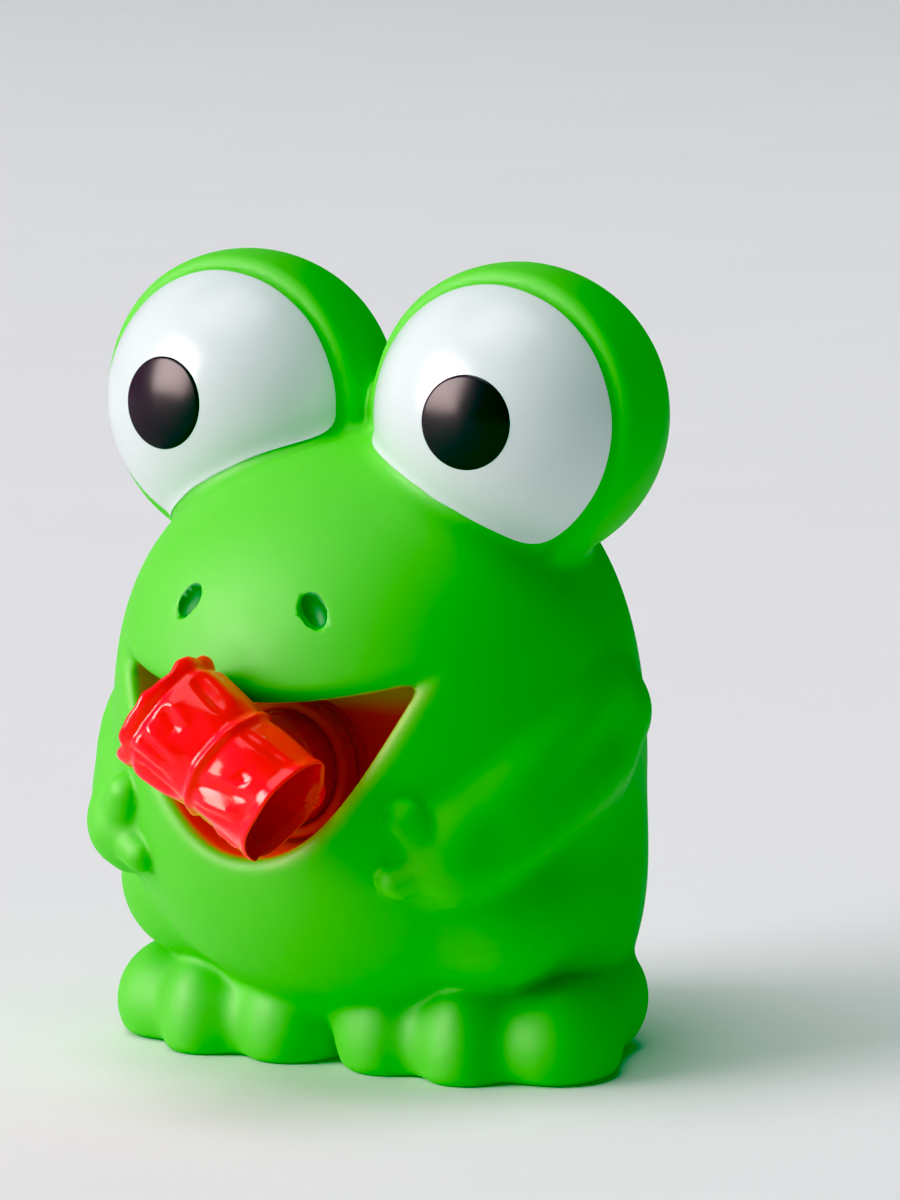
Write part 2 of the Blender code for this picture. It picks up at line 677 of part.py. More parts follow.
def spiral_points():
    """Middle line of the wound film, from its outer end at the back inwards, in (forward, up)."""
    count = round(ROLL_TURNS * TURN_POINTS)
    points = []
    for index in range(count + 1):
        angle = math.tau * index / TURN_POINTS
        radius = ROLL_RADIUS - FILM_THICKNESS / 2 - ROLL_PITCH * index / TURN_POINTS
        points.append((radius * math.cos(angle), -radius * math.sin(angle), angle))
    return points


def least_turn_gap(points):
    """Least gap between the faces of the wound film, over points at least half a turn apart."""
    gaps = []
    for first in points:
        for second in points:
            if second[2] - first[2] > math.pi:
                gaps.append(math.dist(first[:2], second[:2]) - FILM_THICKNESS)
    return min(gaps)


def tongue_roll(pieces, film):
    """Film wound into an open roll, one unbroken band; its own X axis is the roll's axis."""
    points = spiral_points()
    print(f"tongue_roll least gap between turns: {least_turn_gap(points) * 1000:.3f} mm")
    sections = []
    for back, up, angle in points:
        out = Vector((0.0, math.cos(angle), -math.sin(angle))) * FILM_THICKNESS / 2
        middle = Vector((0.0, back, up))
        edge = Vector((FILM_WIDTH / 2, 0.0, 0.0))
        sections.append([middle + out + edge, middle + out - edge, middle - out - edge, middle - out + edge])
    item = add_object("tongue_roll", lofted("tongue_roll", sections), pieces, film)
    item.location = roll_centre()
    item.rotation_euler = (0.0, ROLL_TILT, 0.0)
    return item


def build():
    """Build every piece of the frog."""
    clear_scene()
    pieces = new_collection("pieces")
    tools = new_collection("tools")
    vinyl = material("green_vinyl", (0.075, 0.560, 0.020), 0.45)
    white = material("white_gloss", (0.860, 0.900, 0.890), 0.18)
    black = material("black_gloss", (0.012, 0.012, 0.015), 0.20)
    film = material("red_film", (0.760, 0.010, 0.012), 0.22)
    plastic = material("red_plastic", (0.260, 0.006, 0.008), 0.40)
    body_shell(pieces, tools, vinyl)
    base_plug(pieces, vinyl)
    eyes(pieces, tools, white, black)
    tongue_nozzle(pieces, plastic)
    tongue_collar(pieces, plastic)
    tongue_neck(pieces, tools, film)
    tongue_roll(pieces, film)


build()
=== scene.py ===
"""Looks of a squeeze frog with a rolled film tongue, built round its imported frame.

Form sizes are in millimetres in the frog's own frame: +Z is up, the face looks towards -Y and the frog's
left side is +X. Angles are in degrees where a name says so. Meshes are in metres.
"""
from __future__ import annotations

import itertools
import json
import logging
import math
from dataclasses import dataclass
from enum import Enum
from functools import cached_property

import bpy
import numpy as np
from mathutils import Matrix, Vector

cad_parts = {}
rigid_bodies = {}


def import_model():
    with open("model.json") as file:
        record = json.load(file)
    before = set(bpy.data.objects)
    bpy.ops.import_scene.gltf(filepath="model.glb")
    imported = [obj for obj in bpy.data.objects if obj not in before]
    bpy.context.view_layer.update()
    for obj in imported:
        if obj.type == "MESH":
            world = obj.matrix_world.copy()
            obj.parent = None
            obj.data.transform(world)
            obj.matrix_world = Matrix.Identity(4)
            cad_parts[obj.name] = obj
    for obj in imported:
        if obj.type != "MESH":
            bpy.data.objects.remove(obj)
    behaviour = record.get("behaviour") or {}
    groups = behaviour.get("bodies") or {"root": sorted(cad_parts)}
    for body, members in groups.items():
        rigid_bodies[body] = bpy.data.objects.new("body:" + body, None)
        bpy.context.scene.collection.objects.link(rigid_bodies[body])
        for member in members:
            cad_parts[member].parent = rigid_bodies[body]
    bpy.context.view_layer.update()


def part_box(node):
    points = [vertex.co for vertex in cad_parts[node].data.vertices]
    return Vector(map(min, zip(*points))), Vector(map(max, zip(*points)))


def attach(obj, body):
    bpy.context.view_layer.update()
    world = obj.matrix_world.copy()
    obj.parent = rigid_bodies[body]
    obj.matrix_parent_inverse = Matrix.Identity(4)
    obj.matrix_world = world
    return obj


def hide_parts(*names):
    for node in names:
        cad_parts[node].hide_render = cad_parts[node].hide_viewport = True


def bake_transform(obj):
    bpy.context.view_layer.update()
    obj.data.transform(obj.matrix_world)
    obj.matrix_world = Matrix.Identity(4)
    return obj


LOG = logging.getLogger("squeeze_frog")
MM = 0.001
TINY = 1e-9

Point = tuple[float, float, float]
Gaze = tuple[float, float]
Range = tuple[float, float]
Faces = list[np.ndarray]
Socket = bpy.types.NodeSocket


class Body(Enum):
    """Bodies of the frame."""

    FROG = "frog_body"
    TONGUE = "tongue"


class Slot(Enum):
    """Material slots of the record."""

    VINYL = "green_vinyl"
    WHITE = "white_gloss"
    BLACK = "black_gloss"
    FILM = "red_film"
    PLASTIC = "red_plastic"


class Side(Enum):
    """Sides of the frog, as the sign of x."""

    LEFT = 1
    RIGHT = -1

    @property
    def label(self) -> str:
        """Side as a lower-case word."""
        return self.name.lower()


def smooth_step(low: float, high: float, values: np.ndarray) -> np.ndarray:
    """Smooth rise from 0 at low to 1 at high: 3 t^2 - 2 t^3 of the clipped share.

    Args:
        low: Value where the rise starts.
        high: Value where the rise ends.
        values: Values to map.

    Returns:
        Shares from 0 to 1.
    """
    share = np.clip((values - low) / (high - low), 0.0, 1.0)
    return share * share * (3.0 - 2.0 * share)


def union(first: np.ndarray, second: np.ndarray, fillet: float) -> np.ndarray:
    """Union of two distance fields with a fillet: the lesser one, less a parabola where they are close.

    Args:
        first: Distances to one form.
        second: Distances to the other form.
        fillet: Difference of distances over which the two forms melt together.

    Returns:
        Distances to both forms together.
    """
    share = np.clip(0.5 + 0.5 * (second - first) / fillet, 0.0, 1.0)
    return second + (first - second) * share - fillet * share * (1.0 - share)


def cut(form: np.ndarray, hole: np.ndarray, fillet: float) -> np.ndarray:
    """Form less a hole, with a rounded rim: the union of the form's outside with the hole, turned round.

    Args:
        form: Distances to the form.
        hole: Distances to the hole.
        fillet: Width of the rounded rim.

    Returns:
        Distances to what is left.
    """
    return -union(-form, hole, fillet)


@dataclass(frozen=True)
class Wave:
    """Sine wave round a circle: height, number of waves, phase, and twist along a second measure."""

    height: float
    count: int
    phase: float = 0.0
    twist: float = 0.0

    def at(self, angle: np.ndarray, along: np.ndarray | float = 0.0) -> np.ndarray:
        """Height times the sine of count times angle, plus twist times the second measure, plus phase."""
        return self.height * np.sin(self.count * angle + self.twist * along + self.phase)


@dataclass(frozen=True)
class Ellipsoid:
    """Ellipsoid along X, Y and Z."""

    centre: Point
    half: Point

    def distance(self, points: np.ndarray) -> np.ndarray:
        """Distance to the surface, true close to it: k (k - 1) / g.

        Here k is the length of the point scaled by the half sizes, and g the length of its slope.

        Args:
            points: Places, as rows of x, y and z.

        Returns:
            Distances, negative inside.
        """
        offset = points - np.array(self.centre)
        half = np.array(self.half)
        scaled = np.linalg.norm(offset / half, axis=-1)
        slope = np.linalg.norm(offset / half**2, axis=-1) + TINY
        return scaled * (scaled - 1.0) / slope


@dataclass(frozen=True)
class Limb:
    """Round limb that tapers between two balls."""

    start: Point
    end: Point
    start_radius: float
    end_radius: float

    def distance(self, points: np.ndarray) -> np.ndarray:
        """Distance to the nearest place on the limb's line, less the radius there.

        Args:
            points: Places, as rows of x, y and z.

        Returns:
            Distances, negative inside.
        """
        start = np.array(self.start)
        line = np.array(self.end) - start
        share = np.clip((points - start) @ line / (line @ line), 0.0, 1.0)
        gap = np.linalg.norm(points - start - share[..., None] * line, axis=-1)
        return gap - (self.start_radius + (self.end_radius - self.start_radius) * share)


@dataclass(frozen=True)
class BodyPlace:
    """Place on the torso: compass angle from the face in degrees, height, and stand-off from the skin."""

    compass: float
    height: float
    stand_off: float


@dataclass(frozen=True)
class FrogForm:
    """The frog's outside as one smooth distance field, on the left half and mirrored."""

    head: Ellipsoid = Ellipsoid((0.0, -4.2, 38.3), (23.1, 24.6, 20.2))
    belly: Ellipsoid = Ellipsoid((0.0, -3.8, 25.0), (23.6, 24.4, 21.0))
    back: Ellipsoid = Ellipsoid((0.0, 6.0, 24.0), (21.0, 16.2, 34.0))
    seat: Ellipsoid = Ellipsoid((0.0, 3.6, 15.0), (21.9, 18.2, 19.0))
    chin_fillet: float = 8.0
    back_fillet: float = 4.0

    eye_centre: Point = (14.55, -2.9, 60.95)
    mound_radius: float = 14.05
    eye_radius: float = 13.15
    between_eyes_fillet: float = 3.0
    eye_fillet: float = 2.0
    lid_degrees: float = 73.7
    lid_fillet: float = 1.2
    socket_fillet: float = 0.25

    mouth_half_width: float = 15.2
    mouth_corner_height: float = 38.5
    upper_lip_sag: float = 2.1
    lower_lip_drop: float = 16.5
    lower_lip_power: float = 2.2
    mouth_corner_fillet: float = 1.6
    pocket_floor_y: float = -15.7
    pocket_fillet: float = 3.0
    lip_fillet: float = 1.9

    nostril_spread: float = 13.2
    nostril_height: float = 45.0
    nostril_half: Point = (1.15, 1.0, 1.85)
    nostril_lean_degrees: float = 32.0
    nostril_fillet: float = 0.25

    elbow: BodyPlace = BodyPlace(107.0, 33.0, -2.9)
    elbow_radius: float = 5.0
    upper_arm: tuple[BodyPlace, ...] = (
        BodyPlace(95.0, 35.4, -2.2), BodyPlace(83.0, 34.2, -1.9), BodyPlace(73.0, 31.9, -1.7),
        BodyPlace(64.0, 29.7, -1.5), BodyPlace(55.0, 26.8, -1.5), BodyPlace(46.0, 24.4, -1.4))
    lower_arm: tuple[BodyPlace, ...] = (
        BodyPlace(98.0, 29.4, -2.0), BodyPlace(86.0, 28.0, -1.7), BodyPlace(71.0, 26.0, -1.1),
        BodyPlace(63.0, 24.4, -0.6), BodyPlace(55.4, 22.6, -0.6), BodyPlace(47.0, 21.8, -0.7))
    arm_radius: float = 3.4
    arm_own_fillet: float = 2.6
    arm_fillet: float = 1.6
    palm: BodyPlace = BodyPlace(45.6, 22.8, -0.4)
    palm_radius: float = 3.5
    finger_root: BodyPlace = BodyPlace(43.6, 22.6, 0.5)
    finger_tips: tuple[BodyPlace, ...] = (
        BodyPlace(36.6, 26.3, 0.3), BodyPlace(35.2, 20.6, 0.2), BodyPlace(47.4, 19.7, 0.3))
    finger_root_radius: float = 2.5
    finger_radius: float = 1.85
    finger_fillet: float = 0.9
    hand_fillet: float = 0.5

    thigh: Limb = Limb((14.0, 3.0, 15.0), (15.6, -9.2, 16.2), 8.2, 8.0)
    thigh_fillet: float = 2.4

    ankle: Limb = Limb((12.5, 4.0, 4.4), (16.4, 6.8, 5.0), 6.0, 5.6)
    outer_edge: Limb = Limb((20.6, -4.0, 3.2), (16.6, 6.4, 4.6), 4.8, 5.4)
    toe_tips: tuple[Point, ...] = ((5.5, -10.8, 9.7), (14.1, -11.3, 9.5), (21.2, -7.2, 7.6))
    toe_half: tuple[float, float] = (4.3, 4.8)
    toe_height: float = 3.0
    toe_root: Point = (12.5, 0.0, 5.4)
    toe_root_spread: float = 0.5
    toe_root_radius: float = 4.8
    toe_neck_radius: float = 3.5
    toe_own_fillet: float = 2.4
    sole: Limb = Limb((4.2, -9.2, 4.2), (20.2, -6.5, 4.0), 4.6, 4.7)
    toe_fillet: float = 3.2
    foot_fillet: float = 1.0

    base_fillet: float = 0.9
    plug_centre_y: float = 3.0
    plug_radius: float = 9.8
    plug_depth: float = 1.7
    plug_fillet: float = 0.4

    ray_rounds: int = 24
    ray_pace: float = 0.8
    corner_cut: float = 0.25
    knob_length: float = 0.01

    def body_point(self, place: BodyPlace) -> Point:
        """Point off the torso, found by steps along its compass ray until the field reads the stand-off.

        Args:
            place: Compass angle, height and stand-off.

        Returns:
            The point on the frog's left.
        """
        compass = math.radians(place.compass)
        ray = np.array((math.sin(compass), -math.cos(compass), 0.0))
        origin = np.array((0.0, self.belly.centre[1], place.height))
        reach = self.belly.half[0]
        for _ in range(self.ray_rounds):
            reach -= self.ray_pace * (float(self.torso(origin + reach * ray)) - place.stand_off)
        return tuple(float(part) for part in origin + reach * ray)

    def torso(self, points: np.ndarray) -> np.ndarray:
        """Head, belly, back and seat melted together.

        Args:
            points: Places, as rows of x, y and z.

        Returns:
            Distances to the torso.
        """
        front = union(self.head.distance(points), self.belly.distance(points), self.chin_fillet)
        whole = union(front, self.back.distance(points), self.back_fillet)
        return union(whole, self.seat.distance(points), self.back_fillet)

    def mound(self, points: np.ndarray) -> np.ndarray:
        """Left eye mound: an eyeball in a larger ball with its front cut off, which leaves a lid round it.

        Args:
            points: Places, as rows of x, y and z.

        Returns:
            Distances to the mound.
        """
        offset = points - np.array(self.eye_centre)
        reach = np.linalg.norm(offset, axis=-1)
        front = offset[..., 1] + self.mound_radius * math.cos(math.radians(self.lid_degrees))
        lid = cut(reach - self.mound_radius, front, self.lid_fillet)
        return union(lid, reach - self.eye_radius, self.socket_fillet)

    def chain(self, places: tuple[BodyPlace, ...]) -> list[Limb]:
        """Limbs of one radius through several places on the torso, their bends softened by cutting corners.

        Args:
            places: Places that the chain runs through.

        Returns:
            The limbs from place to place.
        """
        joints = np.array([self.body_point(place) for place in places])
        near, far = 1.0 - self.corner_cut, self.corner_cut
        early = near * joints[:-1] + far * joints[1:]
        late = far * joints[:-1] + near * joints[1:]
        softer = np.stack((early, late), axis=1).reshape(-1, 3)
        joints = np.concatenate((joints[:1], softer, joints[-1:]))
        radius = self.arm_radius
        return [Limb(tuple(start), tuple(end), radius, radius) for start, end in zip(joints, joints[1:])]

    @cached_property
    def ridges(self) -> tuple[list[Limb], list[Limb]]:
        """Limbs of the upper and the lower ridge of the arm."""
        return self.chain(self.upper_arm), self.chain(self.lower_arm)

    @cached_property
    def knobs(self) -> tuple[Limb, Limb]:
        """Elbow and palm, as limbs that hardly have a length."""
        elbow = self.body_point(self.elbow)
        palm = self.body_point(self.palm)
        lift = np.array((0.0, 0.0, self.knob_length))
        return (Limb(elbow, tuple(elbow + lift), self.elbow_radius, self.elbow_radius),
                Limb(palm, tuple(palm + lift), self.palm_radius, self.palm_radius))

    @cached_property
    def fingers(self) -> list[Limb]:
        """Fingers from the palm to their tips."""
        root = self.body_point(self.finger_root)
        tips = [self.body_point(tip) for tip in self.finger_tips]
        return [Limb(root, tip, self.finger_root_radius, self.finger_radius) for tip in tips]

    def arm(self, points: np.ndarray) -> np.ndarray:
        """Folded left arm: an elbow and two ridges that end in a palm.

        Args:
            points: Places, as rows of x, y and z.

        Returns:
            Distances to the arm.
        """
        upper, lower = [np.min([limb.distance(points) for limb in ridge], axis=0) for ridge in self.ridges]
        whole = union(upper, lower, self.arm_own_fillet)
        for knob in self.knobs:
            whole = union(whole, knob.distance(points), self.arm_own_fillet)
        return whole

    def hand(self, points: np.ndarray) -> np.ndarray:
        """Three fingers of the left hand.

        Args:
            points: Places, as rows of x, y and z.

        Returns:
            Distances to the fingers.
        """
        first, second, third = [finger.distance(points) for finger in self.fingers]
        return union(union(first, second, self.finger_fillet), third, self.finger_fillet)

    def foot(self, points: np.ndarray) -> np.ndarray:
        """Left foot: ankle, outer edge and sole, with three toes as tall lobes on sloping ridges.

        Args:
            points: Places, as rows of x, y and z.

        Returns:
            Distances to the foot.
        """
        whole = union(self.ankle.distance(points), self.outer_edge.distance(points), self.toe_own_fillet)
        whole = union(whole, self.sole.distance(points), self.toe_own_fillet)
        root_x, root_y, root_z = self.toe_root
        for tip_x, tip_y, top in self.toe_tips:
            root = (root_x + self.toe_root_spread * (tip_x - root_x), root_y, root_z)
            neck = (tip_x, tip_y + self.toe_half[1] / 2, self.toe_height)
            ridge = Limb(root, neck, self.toe_root_radius, self.toe_neck_radius)
            lobe = Ellipsoid((tip_x, tip_y, self.toe_height), (*self.toe_half, top - self.toe_height))
            toe = union(ridge.distance(points), lobe.distance(points), self.toe_own_fillet)
            whole = union(whole, toe, self.toe_fillet)
        return whole

    def upper_lip(self, x: np.ndarray) -> np.ndarray:
        """Height of the upper lip: a parabola that sags between the mouth's corners."""
        return self.mouth_corner_height - self.upper_lip_sag * (1.0 - (x / self.mouth_half_width) ** 2)

    def mouth(self, points: np.ndarray) -> np.ndarray:
        """Mouth pocket: between the two lip curves and in front of its back wall.

        The upper lip sags as a parabola and the lower lip is a power curve. Each height above or below a
        lip is divided by the length of the lip's slope, which makes it a distance.

        Args:
            points: Places, as rows of x, y and z.

        Returns:
            Distances to the pocket.
        """
        x, y, z = np.moveaxis(points, -1, 0)
        share = np.abs(x) / self.mouth_half_width
        power = self.lower_lip_power
        lower = self.mouth_corner_height - self.lower_lip_drop * (1.0 - share**power)
        lower_slope = self.lower_lip_drop * power * share ** (power - 1.0) / self.mouth_half_width
        upper_slope = self.upper_lip_sag * 2.0 * share / self.mouth_half_width
        above = (z - self.upper_lip(x)) / np.hypot(1.0, upper_slope)
        below = (lower - z) / np.hypot(1.0, lower_slope)
        opening = -union(-above, -below, self.mouth_corner_fillet)
        return -union(-opening, self.pocket_floor_y - y, self.pocket_fillet)

    def nostril(self, points: np.ndarray) -> np.ndarray:
        """Left nostril: an ellipsoid half sunk in the face, its top leaning to the centre line.

        Args:
            points: Places, as rows of x, y and z.

        Returns:
            Distances to the nostril.
        """
        x = self.nostril_spread / 2
        _, centre_y, centre_z = self.head.centre
        half_x, half_y, half_z = self.head.half
        share = 1.0 - (x / half_x) ** 2 - ((self.nostril_height - centre_z) / half_z) ** 2
        centre = np.array((x, centre_y - half_y * math.sqrt(share), self.nostril_height))
        offset = points - centre
        lean = math.radians(self.nostril_lean_degrees)
        across = offset[..., 0] * math.cos(lean) + offset[..., 2] * math.sin(lean)
        along = offset[..., 2] * math.cos(lean) - offset[..., 0] * math.sin(lean)
        turned = np.stack((across, offset[..., 1], along), axis=-1)
        return Ellipsoid((0.0, 0.0, 0.0), self.nostril_half).distance(turned)

    def plug_seat(self, points: np.ndarray) -> np.ndarray:
        """Round seat of the plug in the base.

        Args:
            points: Places, as rows of x, y and z.

        Returns:
            Distances to the seat.
        """
        radius = np.hypot(points[..., 0], points[..., 1] - self.plug_centre_y)
        return np.maximum(radius - self.plug_radius, points[..., 2] - self.plug_depth)

    def uncut(self, points: np.ndarray) -> np.ndarray:
        """Whole frog before its mouth, nostrils and base are cut.

        Args:
            points: Places, as rows of x, y and z.

        Returns:
            Distances to the frog.
        """
        left = points.copy()
        left[..., 0] = np.abs(left[..., 0])
        right = left * np.array((-1.0, 1.0, 1.0))
        eyes = union(self.mound(left), self.mound(right), self.between_eyes_fillet)
        whole = union(self.torso(left), eyes, self.eye_fillet)
        whole = union(whole, self.thigh.distance(left), self.thigh_fillet)
        whole = union(whole, self.arm(left), self.arm_fillet)
        whole = union(whole, self.hand(left), self.hand_fillet)
        return union(whole, self.foot(left), self.foot_fillet)

    def distance(self, points: np.ndarray) -> np.ndarray:
        """Finished outside of the frog.

        Args:
            points: Places, as rows of x, y and z.

        Returns:
            Distances, negative inside the vinyl and its hollow.
        """
        left = points.copy()
        left[..., 0] = np.abs(left[..., 0])
        whole = cut(self.uncut(points), self.mouth(points), self.lip_fillet)
        whole = cut(whole, self.nostril(left), self.nostril_fillet)
        whole = cut(whole, points[..., 2], self.base_fillet)
        return cut(whole, self.plug_seat(points), self.plug_fillet)

    def slope(self, points: np.ndarray, reach: float = 0.04) -> np.ndarray:
        """Slope of the field by differences to both sides.

        Args:
            points: Places, as rows of x, y and z.
            reach: Distance to each side.

        Returns:
            Slopes, as rows of x, y and z.
        """
        steps = reach * np.eye(3)
        ahead = [self.distance(points + step) - self.distance(points - step) for step in steps]
        return np.stack(ahead, axis=-1) / (2.0 * reach)


def surface_net(values: np.ndarray, low: np.ndarray, step: float) -> tuple[np.ndarray, np.ndarray]:
    """Quads of a field's zero surface, with one point in each grid cell that it crosses.

    The point is the mean of the crossings on the cell's twelve edges. Each grid edge that the surface crosses
    gives a quad of the four cells round it, turned so that it faces out.

    Args:
        values: Field on a regular grid.
        low: Place of the grid's first node.
        step: Grid spacing.

    Returns:
        Points, and quads as rows of four point numbers.
    """
    sizes = [size - 1 for size in values.shape]
    offsets = np.array(list(itertools.product((0, 1), repeat=3)))
    corners = [values[tuple(slice(o, o + n) for o, n in zip(offset, sizes))] for offset in offsets]
    inside = sum((corner < 0).astype(np.int8) for corner in corners)
    crossed = (inside > 0) & (inside < len(offsets))
    cells = np.argwhere(crossed)
    numbers = np.full(crossed.shape, -1, dtype=np.int64)
    numbers[crossed] = np.arange(len(cells))
    at_corner = np.stack([corner[crossed] for corner in corners], axis=1)
    total = np.zeros((len(cells), 3))
    count = np.zeros((len(cells), 1))
    for first, second in itertools.combinations(range(len(offsets)), 2):
        if np.abs(offsets[first] - offsets[second]).sum() != 1:
            continue
        start, end = at_corner[:, first], at_corner[:, second]
        crossing = (start < 0) != (end < 0)
        share = np.where(crossing, start / np.where(crossing, start - end, 1.0), 0.0)[:, None]
        place = offsets[first] + share * (offsets[second] - offsets[first])
        total += np.where(crossing[:, None], place, 0.0)
        count += crossing[:, None]
    points = low + step * (cells + total / count)
    quads = []
    for axis in range(3):
        swapped = np.moveaxis(values, [axis, (axis + 1) % 3, (axis + 2) % 3], [0, 1, 2])
        cell_numbers = np.moveaxis(numbers, [axis, (axis + 1) % 3, (axis + 2) % 3], [0, 1, 2])
        near = swapped[:-1, 1:-1, 1:-1] < 0
        far = swapped[1:, 1:-1, 1:-1] < 0
        i, j, k = np.nonzero(near != far)
        ring = [cell_numbers[i, j + a, k + b] for a, b in ((0, 0), (1, 0), (1, 1), (0, 1))]
        quad = np.stack(ring, axis=1)
        outward = near[i, j, k]
        quads.append(np.where(outward[:, None], quad, quad[:, ::-1]))
    return points, np.concatenate(quads)


def grid_quads(rows: int, columns: int, wrap_rows: bool, wrap_columns: bool) -> np.ndarray:
    """Quads over a grid of points that is numbered row by row.

    Args:
        rows: Number of rows.
        columns: Number of columns.
        wrap_rows: Whether the last row joins the first.
        wrap_columns: Whether the last column joins the first.

    Returns:
        Quads as rows of four point numbers.
    """
    row = np.arange(rows if wrap_rows else rows - 1)[:, None]
    column = np.arange(columns if wrap_columns else columns - 1)[None, :]
    next_row = (row + 1) % rows
    next_column = (column + 1) % columns
    ring = (row * columns + column, row * columns + next_column,
            next_row * columns + next_column, next_row * columns + column)
    return np.stack([part.ravel() for part in np.broadcast_arrays(*ring)], axis=1)


def closed_dome(rings: np.ndarray, first_pole: Point, last_pole: Point) -> tuple[np.ndarray, Faces]:
    """Closed surface through rings of points, with a fan of triangles at each pole.

    Args:
        rings: Points as rings by points by x, y and z, counter-clockwise seen from the first pole.
        first_pole: Point that closes the first ring.
        last_pole: Point that closes the last ring.

    Returns:
        Points, and faces facing out.
    """
    count, around = rings.shape[:2]
    points = np.concatenate((rings.reshape(-1, 3), [first_pole, last_pole]))
    quads = grid_quads(count, around, False, True)[:, ::-1]
    here = np.arange(around)
    after = (here + 1) % around
    first = np.stack((np.full(around, count * around), here, after), axis=1)
    base = (count - 1) * around
    last = np.stack((np.full(around, count * around + 1), base + after, base + here), axis=1)
    return points, [quads, first, last]


def add_piece(name: str, points: np.ndarray, faces: Faces, finish: bpy.types.Material) -> bpy.types.Object:
    """Put points in millimetres and faces into a smooth mesh object at the origin.

    Args:
        name: Name of the piece.
        points: Points, as rows of x, y and z.
        faces: Arrays of faces, each with one number of corners.
        finish: Material of the piece.

    Returns:
        The new object.
    """
    mesh = bpy.data.meshes.new(name)
    corners = np.concatenate([part.ravel() for part in faces])
    sides = np.concatenate([np.full(len(part), part.shape[1]) for part in faces])
    starts = np.concatenate(([0], np.cumsum(sides)[:-1]))
    mesh.vertices.add(len(points))
    mesh.vertices.foreach_set("co", (points * MM).astype(np.float32).ravel())
    mesh.loops.add(len(corners))
    mesh.loops.foreach_set("vertex_index", corners.astype(np.int32))
    mesh.polygons.add(len(sides))
    mesh.polygons.foreach_set("loop_start", starts.astype(np.int32))
    mesh.update(calc_edges=True)
    mesh.validate()
    mesh.shade_smooth()
    mesh.materials.append(finish)
    piece = bpy.data.objects.new(name, mesh)
    bpy.context.scene.collection.objects.link(piece)
    return piece


def add_values(piece: bpy.types.Object, name: str, values: np.ndarray) -> None:
    """Give a piece one number at each point, which its material reads by name.

    Args:
        piece: The piece.
        name: Name of the attribute.
        values: One number for each point.
    """
    attribute = piece.data.attributes.new(name, "FLOAT", "POINT")
    attribute.data.foreach_set("value", values.astype(np.float32))


